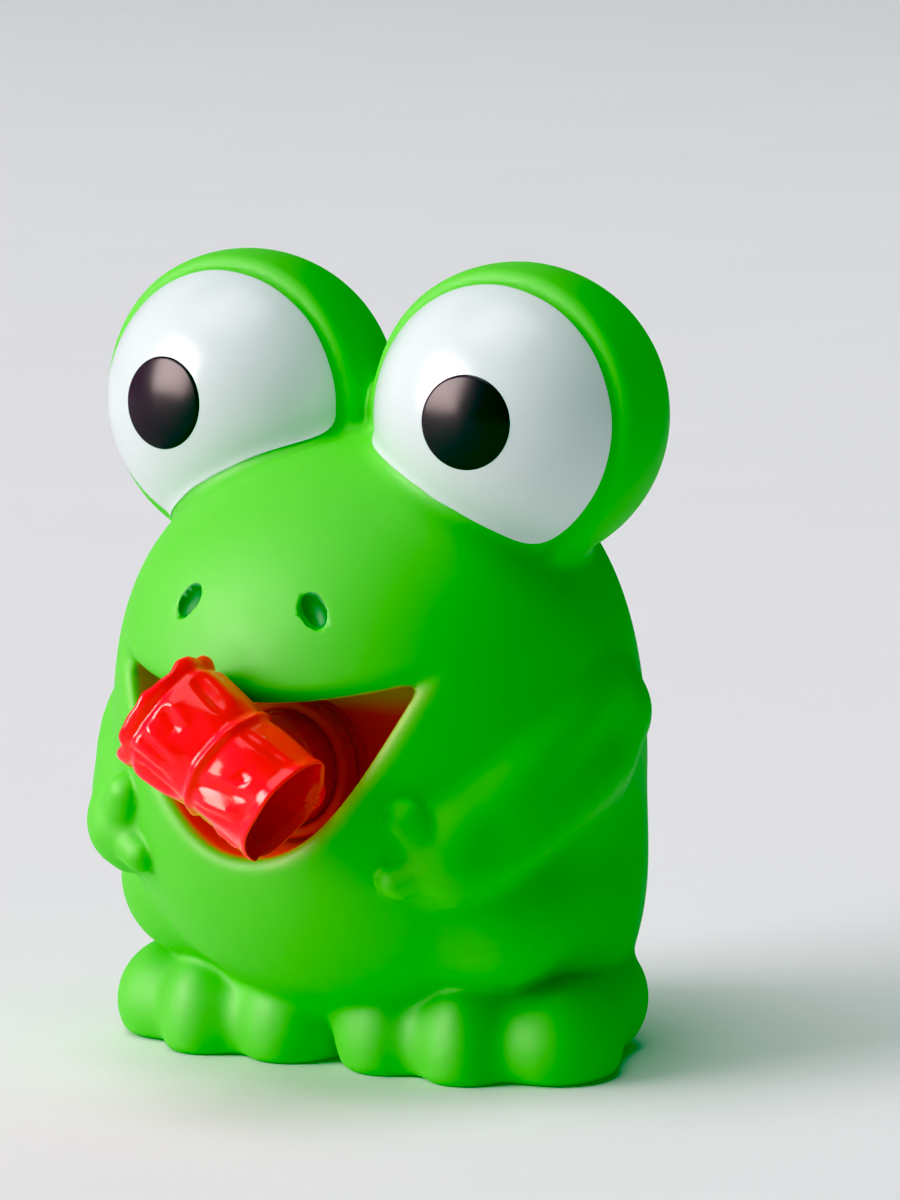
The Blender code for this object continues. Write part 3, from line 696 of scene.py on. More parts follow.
class Graph:
    """Node graph of one material round a Principled shader."""

    NOISE_RANGE = (0.3, 0.7)

    def __init__(self, name: str) -> None:
        """Make a material of that name with a shader and an output."""
        self.material = bpy.data.materials.new(name)
        self.material.use_nodes = True
        self.tree = self.material.node_tree
        self.shader = self.tree.nodes["Principled BSDF"]
        self.place = self.tree.nodes.new("ShaderNodeTexCoord").outputs["Object"]

    def node(self, kind: str, **settings: object) -> bpy.types.Node:
        """Add a node and set its properties.

        Args:
            kind: Blender's name of the node type.
            **settings: Properties of the node.

        Returns:
            The node.
        """
        node = self.tree.nodes.new(kind)
        for key, value in settings.items():
            setattr(node, key, value)
        return node

    def link(self, source: Socket, target: Socket) -> None:
        """Join an output to an input."""
        self.tree.links.new(source, target)

    def noise(self, grain: float, detail: float = 2.0) -> Socket:
        """Noise over the piece.

        Args:
            grain: Size of one grain, in millimetres.
            detail: Octaves of finer noise.

        Returns:
            The noise as a number.
        """
        node = self.node("ShaderNodeTexNoise")
        node.inputs["Scale"].default_value = 1.0 / (grain * MM)
        node.inputs["Detail"].default_value = detail
        self.link(self.place, node.inputs["Vector"])
        return node.outputs["Fac"]

    def attribute(self, name: str) -> Socket:
        """Number that the piece holds at each point under a name."""
        return self.node("ShaderNodeAttribute", attribute_name=name).outputs["Fac"]

    def feed(self, value: object, target: Socket) -> None:
        """Link an output to an input, or set the input to a fixed value."""
        if isinstance(value, Socket):
            self.link(value, target)
        else:
            target.default_value = value

    def ranged(self, source: Socket, taken: Range, given: Range, smooth: bool = False) -> Socket:
        """Number carried from one range to another.

        Args:
            source: The number.
            taken: Range of the number.
            given: Range of the result.
            smooth: Whether the ends are eased.

        Returns:
            The result.
        """
        kind = "SMOOTHSTEP" if smooth else "LINEAR"
        node = self.node("ShaderNodeMapRange", interpolation_type=kind)
        for name, value in zip(("From Min", "From Max", "To Min", "To Max"), (*taken, *given)):
            node.inputs[name].default_value = value
        self.link(source, node.inputs["Value"])
        return node.outputs["Result"]

    def spread(self, source: Socket, low: float, high: float) -> Socket:
        """Noise, most of which lies in NOISE_RANGE, spread from low to high."""
        return self.ranged(source, self.NOISE_RANGE, (low, high))

    def math(self, operation: str, source: Socket, other: object = 0.0) -> Socket:
        """Result of an operation on a number.

        Args:
            operation: Blender's name of the operation.
            source: First number.
            other: Second number, fixed or an output.

        Returns:
            The result.
        """
        node = self.node("ShaderNodeMath", operation=operation)
        self.link(source, node.inputs[0])
        self.feed(other, node.inputs[1])
        return node.outputs[0]

    def vector(self, operation: str, source: Socket, other: Point = (0.0, 0.0, 0.0)) -> Socket:
        """Result of an operation on a vector.

        Args:
            operation: Blender's name of the operation.
            source: First vector.
            other: Second vector.

        Returns:
            The result, a number for a length.
        """
        node = self.node("ShaderNodeVectorMath", operation=operation)
        self.link(source, node.inputs[0])
        node.inputs[1].default_value = other
        return node.outputs["Value" if operation == "LENGTH" else "Vector"]

    def mix(self, share: Socket, first: object, second: object) -> Socket:
        """Mix two colours.

        Args:
            share: Share of the second colour.
            first: Colour or output.
            second: Colour or output.

        Returns:
            The mixed colour.
        """
        node = self.node("ShaderNodeMix", data_type="RGBA")
        self.link(share, node.inputs[0])
        for value, target in ((first, node.inputs[6]), (second, node.inputs[7])):
            self.feed((*value, 1.0) if isinstance(value, tuple) else value, target)
        return node.outputs[2]

    def tone(self, grain: float, first: Point, second: Point) -> Socket:
        """Colour that wanders between two colours in grains of a size in millimetres."""
        return self.mix(self.spread(self.noise(grain), 0.0, 1.0), first, second)

    def bump(self, heights: list[tuple[Socket, float]]) -> None:
        """Lay bumps on the shader's normal.

        Args:
            heights: Each height field with its depth in millimetres.
        """
        last = None
        for source, depth in heights:
            node = self.node("ShaderNodeBump")
            node.inputs["Strength"].default_value = 1.0
            node.inputs["Distance"].default_value = depth * MM
            self.link(source, node.inputs["Height"])
            if last is not None:
                self.link(last, node.inputs["Normal"])
            last = node.outputs["Normal"]
        self.link(last, self.shader.inputs["Normal"])

    def shade(self, **values: object) -> None:
        """Feed shader inputs with outputs or fixed values; underscores stand for spaces."""
        for name, value in values.items():
            self.feed(value, self.shader.inputs[name.replace("_", " ")])


@dataclass(frozen=True)
class VinylFinish:
    """Soft green vinyl with a satin skin, sprayed red inside the mouth, with a faint painted glow inside the
    mouth and a pale band of painted glow and overspray round the lower lip.
    """

    form: FrogForm
    name: str = "green_vinyl"
    green: Point = (0.132, 0.550, 0.041)
    warm_green: Point = (0.136, 0.558, 0.042)
    spray_red: Point = (0.640, 0.000, 0.001)
    spray_olive: Point = (0.470, 0.330, 0.002)
    lip_glow_and_overspray: Point = (0.420, 0.500, 0.120)
    deep_green: Point = (0.020, 0.200, 0.016)
    painted_glow: float = 0.11
    tone_grain: float = 14.0
    sheen_grain: float = 3.0
    roughness: Range = (0.60, 0.66)
    skin_grain: float = 0.45
    skin_depth: float = 0.006
    soft_weight: float = 0.25
    soft_radius: Point = (0.45, 1.0, 0.15)
    soft_reach: float = 2.0
    refraction: float = 1.50
    gloss: float = 0.42
    nostril_edge: Range = (0.90, 1.0)
    parting_y: float = -2.3
    parting_half_width: float = 0.16
    parting_height: float = 0.010

    def parting(self, graph: Graph) -> Socket:
        """Thin line where the two halves of the mould met, on the plane between front and back.

        Args:
            graph: Graph of the material.

        Returns:
            Height of the line, from 0 to 1.
        """
        axes = graph.node("ShaderNodeSeparateXYZ")
        graph.link(graph.place, axes.inputs[0])
        away = graph.math("ABSOLUTE", graph.math("SUBTRACT", axes.outputs["Y"], self.parting_y * MM))
        return graph.ranged(away, (0.0, self.parting_half_width * MM), (1.0, 0.0), smooth=True)

    def nostrils(self, graph: Graph) -> Socket:
        """Mask of both nostrils: the length of the place scaled by their half sizes, on the face only.

        Args:
            graph: Graph of the material.

        Returns:
            1 in a nostril and 0 outside it.
        """
        form = self.form
        centre = (form.nostril_spread / 2 * MM, 0.0, form.nostril_height * MM)
        half_x, _, half_z = form.nostril_half
        turned = graph.node("ShaderNodeVectorRotate", rotation_type="Y_AXIS")
        turned.inputs["Angle"].default_value = math.radians(form.nostril_lean_degrees)
        moved = graph.vector("SUBTRACT", graph.vector("ABSOLUTE", graph.place), centre)
        graph.link(moved, turned.inputs["Vector"])
        scaled = graph.vector("MULTIPLY", turned.outputs[0], (1.0 / (half_x * MM), 0.0, 1.0 / (half_z * MM)))
        mask = graph.ranged(graph.vector("LENGTH", scaled), self.nostril_edge, (1.0, 0.0), smooth=True)
        return graph.math("MULTIPLY", mask, graph.attribute("face"))

    def build(self) -> bpy.types.Material:
        """Make the material. The inside of the mouth gets a faint painted glow, an emission that stands in
        for light coming through its thin wall.
        """
        graph = Graph(self.name)
        colour = graph.tone(self.tone_grain, self.green, self.warm_green)
        # Pale band round the lower lip: painted glow along the lip's edge, with red overspray mixed in.
        colour = graph.mix(graph.attribute("lip_glow_and_overspray"), colour, self.lip_glow_and_overspray)
        colour = graph.mix(self.nostrils(graph), colour, self.deep_green)
        colour = graph.mix(graph.attribute("in_mouth"), colour, self.spray_olive)
        colour = graph.mix(graph.attribute("red_spray"), colour, self.spray_red)
        # Painted glow: the mouth's inside emits its own colour, so it shows brighter than its lighting makes
        # it.
        glow = graph.math("MULTIPLY", graph.attribute("in_mouth"), self.painted_glow)
        graph.bump([(graph.noise(self.skin_grain), self.skin_depth),
                    (self.parting(graph), self.parting_height)])
        graph.shade(
            Base_Color=colour, Emission_Color=colour, Emission_Strength=glow,
            Roughness=graph.spread(graph.noise(self.sheen_grain), *self.roughness),
            Subsurface_Weight=self.soft_weight, Subsurface_Radius=self.soft_radius,
            Subsurface_Scale=self.soft_reach * MM, IOR=self.refraction, Specular_IOR_Level=self.gloss)
        return graph.material


@dataclass(frozen=True)
class GlossFinish:
    """Smooth glossy paint with a faint unevenness."""

    name: str
    colour: Point
    other: Point
    roughness: Range
    uneven: float
    gloss: float
    tone_grain: float = 4.0
    sheen_grain: float = 1.6
    uneven_grain: float = 2.4
    refraction: float = 1.50

    def build(self) -> bpy.types.Material:
        """Make the material."""
        graph = Graph(self.name)
        graph.bump([(graph.noise(self.uneven_grain), self.uneven)])
        graph.shade(
            Base_Color=graph.tone(self.tone_grain, self.colour, self.other),
            Roughness=graph.spread(graph.noise(self.sheen_grain), *self.roughness),
            IOR=self.refraction, Specular_IOR_Level=self.gloss)
        return graph.material


@dataclass(frozen=True)
class FilmFinish:
    """Thin glossy red film with a faint painted glow, and a darker red as painted shade where it is marked
    inside.
    """

    name: str = "red_film"
    red: Point = (0.960, 0.002, 0.066)
    deep_red: Point = (0.930, 0.001, 0.062)
    shaded_film_red: Point = (0.640, 0.000, 0.030)
    painted_glow: float = 0.07
    tone_grain: float = 2.5
    sheen_grain: float = 1.2
    roughness: Range = (0.08, 0.14)
    wrinkle_grain: float = 1.4
    wrinkle_depth: float = 0.012
    fine_grain: float = 0.35
    fine_depth: float = 0.004
    soft_weight: float = 0.15
    soft_radius: Point = (1.0, 0.1, 0.05)
    soft_reach: float = 0.8
    refraction: float = 1.47
    gloss: float = 0.22

    def build(self) -> bpy.types.Material:
        """Make the material."""
        graph = Graph(self.name)
        colour = graph.tone(self.tone_grain, self.red, self.deep_red)
        # Painted shade: where the 'inside' attribute is set (the roll's inner turns and inner face, the neck
        # deep in the mouth) the film takes a darker red.
        colour = graph.mix(graph.attribute("inside"), colour, self.shaded_film_red)
        graph.bump([(graph.noise(self.wrinkle_grain), self.wrinkle_depth),
                    (graph.noise(self.fine_grain), self.fine_depth)])
        # Painted glow: the film faintly emits its own colour.
        graph.shade(
            Base_Color=colour, Emission_Color=colour, Emission_Strength=self.painted_glow,
            Roughness=graph.spread(graph.noise(self.sheen_grain), *self.roughness),
            Subsurface_Weight=self.soft_weight, Subsurface_Radius=self.soft_radius,
            Subsurface_Scale=self.soft_reach * MM, IOR=self.refraction, Specular_IOR_Level=self.gloss)
        return graph.material


@dataclass(frozen=True)
class PlasticFinish:
    """Plain moulded plastic with a fine grain, which may have a faint painted glow."""

    name: str
    colour: Point
    other: Point
    roughness: Range
    painted_glow: float = 0.0
    tone_grain: float = 3.0
    sheen_grain: float = 0.8
    fine_grain: float = 0.3
    fine_depth: float = 0.008
    gloss: float = 0.2

    def build(self) -> bpy.types.Material:
        """Make the material."""
        graph = Graph(self.name)
        colour = graph.tone(self.tone_grain, self.colour, self.other)
        graph.bump([(graph.noise(self.fine_grain), self.fine_depth)])
        # Painted glow: emission of the plastic's own colour, which lightens the nozzle and collar in the
        # mouth.
        graph.shade(
            Base_Color=colour, Emission_Color=colour, Emission_Strength=self.painted_glow,
            Roughness=graph.spread(graph.noise(self.sheen_grain), *self.roughness),
            Specular_IOR_Level=self.gloss)
        return graph.material


@dataclass
class FrogSkin:
    """One-piece vinyl skin of the frog.

    Eye mounds, hands and toes overhang the torso, so no grid of two parameters covers it. Its mesh is the
    zero surface of the form's distance field instead.
    """

    form: FrogForm
    finish: VinylFinish
    step: float = 0.52
    low: Point = (0.0, -31.0, -2.0)
    high: Point = (31.0, 25.0, 77.0)
    settle_rounds: int = 3
    smooth_rounds: int = 2
    least_slope: float = 0.05
    spray_depth: Range = (0.8, 1.5)
    spray_height: Range = (34.0, 36.6)
    lip_glow_reach: float = 2.0
    lip_glow_strength: float = 0.9
    lip_glow_below: Range = (0.2, -1.2)
    lip_glow_x: Range = (0.0, 9.0)
    lip_glow_least: float = 0.15
    mouth_edge: Range = (0.6, 0.2)
    face_y: Range = (-10.0, -12.0)
    slab: int = 12
    name: str = "frog_skin"

    def sampled(self) -> tuple[np.ndarray, np.ndarray]:
        """Field on a grid: the left half, slab by slab, and its mirror image.

        Returns:
            Values, and the place of the first node.
        """
        x, y, z = [np.arange(a, b, self.step) for a, b in zip(self.low, self.high)]
        slabs = []
        for start in range(0, len(x), self.slab):
            nodes = np.meshgrid(x[start:start + self.slab], y, z, indexing="ij")
            slabs.append(self.form.distance(np.stack(nodes, axis=-1)))
        half = np.concatenate(slabs)
        first = np.array((-x[-1], self.low[1], self.low[2]))
        return np.concatenate((half[:0:-1], half)), first

    def settled(self, points: np.ndarray) -> np.ndarray:
        """Points moved on to the surface along the field's slope.

        Args:
            points: Points near the surface.

        Returns:
            Points on the surface.
        """
        for _ in range(self.settle_rounds):
            slope = self.form.slope(points)
            size = np.maximum((slope**2).sum(axis=1), self.least_slope)
            move = np.clip(self.form.distance(points) / size, -self.step, self.step)
            points = points - move[:, None] * slope
        return points

    def relaxed(self, points: np.ndarray, quads: np.ndarray) -> np.ndarray:
        """Points moved half way to the mean of their neighbours along the quads' edges.

        Args:
            points: Points of the mesh.
            quads: Quads of the mesh.

        Returns:
            Evened points.
        """
        starts = quads.ravel()
        ends = np.roll(quads, -1, axis=1).ravel()
        count = np.bincount(starts, minlength=len(points))
        sums = [np.bincount(starts, weights=points[ends, axis], minlength=len(points)) for axis in range(3)]
        return 0.5 * points + 0.5 * np.stack(sums, axis=1) / count[:, None]

    def paint(self, piece: bpy.types.Object, points: np.ndarray) -> None:
        """Mark the mouth, where red is sprayed in it, the pale band of painted glow and overspray round its
        lower lip, and the face.

        Args:
            piece: The skin.
            points: Its points in millimetres.
        """
        depth = -self.form.uncut(points)
        mouth = self.form.mouth(points)
        in_mouth = smooth_step(*self.spray_depth, depth) * smooth_step(*self.mouth_edge, mouth)
        below_top = smooth_step(self.spray_height[1], self.spray_height[0], points[:, 2])
        # Pale band round the lower lip: painted glow along its edge, with red overspray mixed in; strongest
        # on the frog's left, weaker on the lit right side.
        below_lip = smooth_step(*self.lip_glow_below, points[:, 2] - self.form.upper_lip(points[:, 0]))
        to_left = self.lip_glow_least + (1.0 - self.lip_glow_least) * smooth_step(*self.lip_glow_x, points[:, 0])
        lip_glow = smooth_step(self.lip_glow_reach, 0.0, mouth) * self.lip_glow_strength * below_lip * to_left
        add_values(piece, "in_mouth", in_mouth)
        add_values(piece, "red_spray", in_mouth * below_top)
        add_values(piece, "lip_glow_and_overspray", lip_glow)
        add_values(piece, "face", smooth_step(*self.face_y, points[:, 1]))

    def build(self) -> bpy.types.Object:
        """Build and dress the skin.

        Returns:
            The skin piece.
        """
        values, first = self.sampled()
        points, quads = surface_net(values, first, self.step)
        for _ in range(self.smooth_rounds):
            points = self.settled(self.relaxed(points, quads))
        piece = add_piece(self.name, points, [quads], self.finish.build())
        slope = self.form.slope(points)
        normals = slope / np.linalg.norm(slope, axis=1, keepdims=True)
        piece.data.normals_split_custom_set_from_vertices(normals.astype(np.float32))
        self.paint(piece, points)
        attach(piece, Body.FROG.value)
        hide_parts("body_shell")
        return piece


@dataclass
class EyePair:
    """White paint on the front of each eye mound, with a glossy black pupil on it."""

    form: FrogForm
    white: GlossFinish
    black: GlossFinish
    white_degrees: float = 70.5
    head_margin: float = 0.75
    corner_degrees: float = 5.0
    white_proud: float = 0.10
    white_sunk: float = 0.35
    edge_roll: float = 0.45
    edge_wander: float = 0.04
    edge_waves: tuple[Wave, ...] = (Wave(1.0, 3, 0.7), Wave(0.7, 7, 2.1), Wave(0.5, 13, twist=1.0))
    edge_smoothing: int = 4
    search_past_degrees: float = 12.0
    search_steps: int = 240
    skin_rounds: int = 14
    skin_pace: float = 0.8
    pupil_degrees: float = 19.6
    pupil_gaze: Gaze = (7.4, 2.5)
    pupil_proud: float = 0.12
    rings: int = 60
    edge_rings: int = 14
    around: int = 192

    def directions(self, side: Side, gaze_degrees: Gaze, theta: np.ndarray, phi: np.ndarray) -> np.ndarray:
        """Unit directions from the eye's centre: an angle from the gaze and an angle round it.

        Args:
            side: Side of the frog.
            gaze_degrees: How far the gaze turns outwards and upwards.
            theta: Angles from the gaze.
            phi: Angles round the gaze, from the frog's left upwards.

        Returns:
            Directions, as rows of x, y and z.
        """
        turn = math.radians(gaze_degrees[0]) * side.value
        rise = math.radians(gaze_degrees[1])
        ahead = np.array((math.sin(turn), -math.cos(turn), 0.0))
        left = np.array((math.cos(turn), math.sin(turn), 0.0))
        gaze = math.cos(rise) * ahead + np.array((0.0, 0.0, math.sin(rise)))
        up = np.array((0.0, 0.0, math.cos(rise))) - math.sin(rise) * ahead
        round_gaze = np.cos(phi)[..., None] * left + np.sin(phi)[..., None] * up
        return np.cos(theta)[..., None] * gaze + np.sin(theta)[..., None] * round_gaze

    def centre(self, side: Side) -> np.ndarray:
        """Centre of an eye mound."""
        return np.array(self.form.eye_centre) * np.array((side.value, 1.0, 1.0))

    def white_limit(self, side: Side, phi: np.ndarray) -> np.ndarray:
        """Angle at which the white ends: the lid, or sooner where the head rises to meet the mound.

        Args:
            side: Side of the frog.
            phi: Angles round the gaze.

        Returns:
            Angles from the gaze.
        """
        theta = np.radians(np.linspace(0.0, self.white_degrees + self.search_past_degrees, self.search_steps))
        ray = self.directions(side, (0.0, 0.0), theta[:, None], phi[None, :])
        clear = self.form.torso(self.centre(side) + self.form.eye_radius * ray) > self.head_margin
        head = theta[np.where(clear.all(axis=0), len(theta) - 1, np.argmin(clear, axis=0))]
        lid = np.full_like(head, math.radians(self.white_degrees))
        limit = union(head, lid, math.radians(self.corner_degrees))
        reach = self.edge_smoothing
        kernel = np.hanning(2 * reach + 1)
        looped = np.concatenate((limit[-reach:], limit, limit[:reach]))
        smooth = np.convolve(looped, kernel / kernel.sum(), mode="valid")
        wander = sum(wave.at(phi, side.value) for wave in self.edge_waves)
        return smooth + self.edge_wander / self.form.eye_radius * wander

    def on_skin(self, side: Side, rays: np.ndarray, rise: np.ndarray) -> np.ndarray:
        """Points along rays from the eye's centre, at a height above the bare skin.

        The radius is mended by the field's own distance until it settles.

        Args:
            side: Side of the frog.
            rays: Unit directions.
            rise: Height above the skin for each ray.

        Returns:
            Points in millimetres.
        """
        centre = self.centre(side)
        radius = np.full(rays.shape[:-1], self.form.eye_radius)
        for _ in range(self.skin_rounds):
            gap = self.form.uncut(centre + radius[..., None] * rays) - rise
            radius = radius - self.skin_pace * gap
        return centre + radius[..., None] * rays

    def cap(self, side: Side, gaze: Gaze, limit: np.ndarray, proud: float,
            sunk: float) -> tuple[np.ndarray, Faces]:
        """Closed lens on the mound: an outer face with a rolled edge, and an inner face under the skin.

        Args:
            side: Side of the frog.
            gaze: How far the gaze turns outwards and upwards, in degrees.
            limit: Angle at which the lens ends, all round the gaze.
            proud: Height of the outer face above the skin.
            sunk: Depth of the edge and of the inner face below the skin.

        Returns:
            Points and faces.
        """
        around = len(limit)
        phi = np.arange(around) * math.tau / around
        edge = self.edge_roll / self.form.eye_radius
        body = np.linspace(0.0, 1.0, self.rings + 1)[1:, None] * (limit - edge)[None, :]
        quarter = np.linspace(0.0, math.pi / 2, self.edge_rings + 1)[1:, None]
        roll = limit[None, :] - edge + edge * np.sin(quarter)
        fall = np.broadcast_to(proud - (proud + sunk) * (1.0 - np.cos(quarter)), roll.shape)
        inner = np.linspace(1.0, 0.0, self.edge_rings + 1)[1:-1, None] * limit[None, :]
        theta = np.concatenate((body, roll, inner))
        rise = np.concatenate((np.full_like(body, proud), fall, np.full_like(inner, -sunk)))
        rays = self.directions(side, gaze, theta, np.broadcast_to(phi, theta.shape))
        rings = self.on_skin(side, rays, rise)
        pole = self.directions(side, gaze, np.zeros(1), np.zeros(1))
        poles = [self.on_skin(side, pole, np.array([height]))[0] for height in (proud, -sunk)]
        return closed_dome(rings, *poles)

    def build(self) -> list[bpy.types.Object]:
        """Build and dress both eyes.

        Returns:
            Whites and pupils.
        """
        white = self.white.build()
        black = self.black.build()
        phi = np.arange(self.around) * math.tau / self.around
        pupil_limit = np.full(self.around, math.radians(self.pupil_degrees))
        pieces = []
        for side in Side:
            limit = self.white_limit(side, phi)
            shape = self.cap(side, (0.0, 0.0), limit, self.white_proud, self.white_sunk)
            pieces.append((f"eye_paint_{side.label}", shape, white, f"eye_white_{side.label}", Slot.WHITE))
            proud = self.white_proud + self.pupil_proud
            shape = self.cap(side, self.pupil_gaze, pupil_limit, proud, self.white_sunk / 2)
            pieces.append((f"pupil_dot_{side.label}", shape, black, f"pupil_{side.label}", Slot.BLACK))
        made = []
        for name, (points, faces), finish, node, slot in pieces:
            piece = add_piece(name, points, faces, finish)
            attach(piece, Body.FROG.value)
            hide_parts(node)
            made.append(piece)
        return made


@dataclass(frozen=True)
class Fold:
    """Crease or ridge in the film: from one place to another, each along the roll and round it."""

    start: tuple[float, float]
    end: tuple[float, float]
    width: float
    height: float


@dataclass
class TongueRoll:
    """Film of the tongue, wound into a roll with a ring seam, folds and a crumpled end.

    Places along the roll are millimetres from its middle, positive towards the frog's left. Places round it
    are degrees from the back, under the roll to its front and over the top.
    """

    finish: bpy.types.Material
    centre: np.ndarray
    tilt_degrees: float = 32.6
    length: float = 15.2
    radius: float = 6.0
    pitch: float = 0.82
    turns: float = 2.75
    film: float = 0.30
    taper: float = 0.062
    lift: float = 0.6
    pinch_degrees: float = 112.0
    pinch_width: float = 15.0
    pinch_reach: float = 0.7
    pinch_run: float = 2.5
    inner_recess: float = 9.0
    recess_turns: Range = (1.0, 1.12)
    shaded_turns: Range = (0.9, 1.1)
    ring_place: float = 0.5
    ring_height: float = 0.42
    ring_width: float = 0.42
    ring_turns: Range = (1.05, 0.95)
    ring_wave: Wave = Wave(0.14, 3, math.radians(50.0))
    flat_waves: tuple[Wave, ...] = (Wave(0.10, 5, 0.0, 0.25), Wave(0.07, 8, 1.0, -0.4))
    waist_depth: float = 0.22
    waist_width: float = 1.6
    flange_place: float = -6.3
    flange_run: float = 0.5
    flange_rise: float = 0.10
    flange_waves: tuple[Wave, ...] = (Wave(0.18, 5, 0.4), Wave(0.08, 11, 2.0))
    groove_depth: float = 0.45
    groove_width: float = 0.45
    groove_wave: Wave = Wave(0.3, 4, 0.6)
    flare_rise: float = 0.30
    flare_run: float = 1.2
    ragged_run: float = 3.0
    ragged_waves: tuple[Wave, ...] = (
        Wave(0.20, 5, math.radians(40.0)), Wave(0.11, 9, math.radians(200.0)),
        Wave(0.06, 17, math.radians(75.0)))
    thin_edge: float = 0.25
    thin_points: int = 4
    fold_power: float = 1.5
    fold_start: Range = (-0.12, 0.25)
    fold_end: Range = (1.12, 0.7)
    folds: tuple[Fold, ...] = (
        Fold((-6.6, 166.0), (-2.1, 162.0), 0.75, 0.42),
        Fold((-6.4, 152.0), (-1.4, 150.0), 0.40, -0.34),
        Fold((-5.9, 184.0), (-1.4, 178.0), 0.60, 0.40),
        Fold((-6.1, 174.0), (-1.8, 171.0), 0.32, -0.30),
        Fold((-5.3, 138.0), (-0.5, 134.0), 0.50, -0.42),
        Fold((-5.7, 124.0), (-0.8, 120.0), 0.90, 0.26),
        Fold((-5.3, 205.0), (-3.0, 196.0), 0.45, -0.32),
        Fold((-5.5, 214.0), (-2.5, 208.0), 0.60, 0.28),
        Fold((-5.5, 246.0), (-1.2, 240.0), 0.55, -0.30),
        Fold((-5.3, 262.0), (-0.7, 258.0), 0.80, 0.20),
        Fold((0.5, 164.0), (6.1, 190.0), 0.45, -0.30),
        Fold((1.6, 152.0), (6.2, 170.0), 0.60, 0.30),
        Fold((1.4, 142.0), (5.9, 158.0), 0.40, -0.30),
        Fold((2.3, 112.0), (6.6, 106.0), 0.55, -0.45),
        Fold((3.5, 122.0), (6.9, 116.0), 0.50, 0.32),
        Fold((3.7, 204.0), (5.0, 200.0), 0.60, -0.24),
        Fold((1.1, 236.0), (6.4, 244.0), 0.60, -0.22),
    )
    along_count: int = 120
    turn_count: int = 150

    def frame(self) -> tuple[np.ndarray, np.ndarray, np.ndarray]:
        """Unit vectors along the roll, to its back, and up across it."""
        tilt = math.radians(self.tilt_degrees)
        along = np.array((math.cos(tilt), 0.0, -math.sin(tilt)))
        up = np.array((math.sin(tilt), 0.0, math.cos(tilt)))
        return along, np.array((0.0, 1.0, 0.0)), up

    def creased(self, along: np.ndarray, degrees: np.ndarray) -> np.ndarray:
        """Height of all folds: a bell across each fold, faded at its ends.

        Args:
            along: Places along the roll.
            degrees: Places round the roll.

        Returns:
            Heights in millimetres.
        """
        arc = self.radius * np.radians(degrees % 360.0)
        total = np.zeros(np.broadcast_shapes(along.shape, arc.shape))
        for fold in self.folds:
            start = np.array((fold.start[0], self.radius * math.radians(fold.start[1])))
            line = np.array((fold.end[0], self.radius * math.radians(fold.end[1]))) - start
            share = ((along - start[0]) * line[0] + (arc - start[1]) * line[1]) / (line @ line)
            gap = np.abs((along - start[0]) * line[1] - (arc - start[1]) * line[0]) / np.linalg.norm(line)
            fade = smooth_step(*self.fold_start, share) * smooth_step(*self.fold_end, share)
            total += fold.height * fade * np.exp(-((gap / fold.width) ** self.fold_power))
        return total

    def swell(self, along: np.ndarray, degrees: np.ndarray) -> np.ndarray:
        """Shape that all turns share: flats round the roll, folds, a waist at the ring and a crumpled end.

        Args:
            along: Places along the roll.
            degrees: Places round the roll.

        Returns:
            Heights above the plain spiral in millimetres.
        """
        angle = np.radians(degrees)
        flats = sum(wave.at(angle, along) for wave in self.flat_waves)
        waist = -self.waist_depth * np.exp(-(((along - self.ring_place) / self.waist_width) ** 2))
        past = smooth_step(self.flange_place + self.flange_run, -self.length / 2, along)
        groove = -self.groove_depth * np.exp(-(((along - self.flange_place) / self.groove_width) ** 2))
        groove *= 1.0 - self.groove_wave.height + self.groove_wave.at(angle)
        flange = past * (self.flange_rise + sum(wave.at(angle) for wave in self.flange_waves))
        flare = self.flare_rise * smooth_step(self.length / 2 - self.flare_run, self.length / 2, along)
        return flats + waist + groove + flange + flare - self.taper * along + self.creased(along, degrees)

    def build(self) -> bpy.types.Object:
        """Build and dress the roll: a thin closed strip across the film, carried along the spiral.

        Returns:
            The roll piece.
        """
        half = np.linspace(-1.0, 1.0, self.along_count)
        both = np.concatenate((half, half[::-1]))
        end = self.length / 2
        strip = both * end
        face = np.concatenate((np.ones(self.along_count), -np.ones(self.along_count)))
        thin = np.clip((1.0 - np.abs(both)) * self.along_count / self.thin_points, self.thin_edge, 1.0)
        degrees = np.linspace(0.0, 360.0 * self.turns, round(self.turn_count * self.turns))[:, None]
        angle = np.radians(degrees)
        turn = degrees / 360.0
        ragged = sum(wave.at(angle) for wave in self.ragged_waves)
        along = strip + ragged * smooth_step(self.ragged_run - end, -end, strip)
        recess = self.inner_recess * smooth_step(*self.recess_turns, turn)
        along = along - recess * smooth_step(0.0, end, strip)
        pinch = np.exp(-(((degrees - self.pinch_degrees) / self.pinch_width) ** 2))
        along = along + self.pinch_reach * pinch * smooth_step(end - self.pinch_run, end, strip)
        ring_line = self.ring_place + self.ring_wave.at(angle)
        ring = self.ring_height * np.exp(-(((along - ring_line) / self.ring_width) ** 2))
        reach = self.radius - self.film / 2 - self.pitch * turn + self.swell(along, degrees)
        reach = reach + smooth_step(*self.ring_turns, turn) * ring + face * thin * self.film / 2
        axis, back, up = self.frame()
        points = (self.centre + self.lift * up + along[..., None] * axis
                  + (reach * np.cos(angle))[..., None] * back - (reach * np.sin(angle))[..., None] * up)
        rows, columns = reach.shape
        quads = grid_quads(rows, columns, False, True)
        here = np.arange(self.along_count - 1)
        strip_end = np.stack((here, here + 1, columns - 2 - here, columns - 1 - here), axis=1)
        last_end = (rows - 1) * columns + strip_end[:, ::-1]
        faces = [quads, strip_end, last_end]
        piece = add_piece("tongue_film_roll", points.reshape(-1, 3), faces, self.finish)
        # Painted shade: the inner turns and the film's inner face are marked for the darker red.
        inside = np.maximum(smooth_step(*self.shaded_turns, turn), face < 0)
        add_values(piece, "inside", inside.ravel())
        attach(piece, Body.TONGUE.value)
        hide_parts("tongue_roll")
        return piece


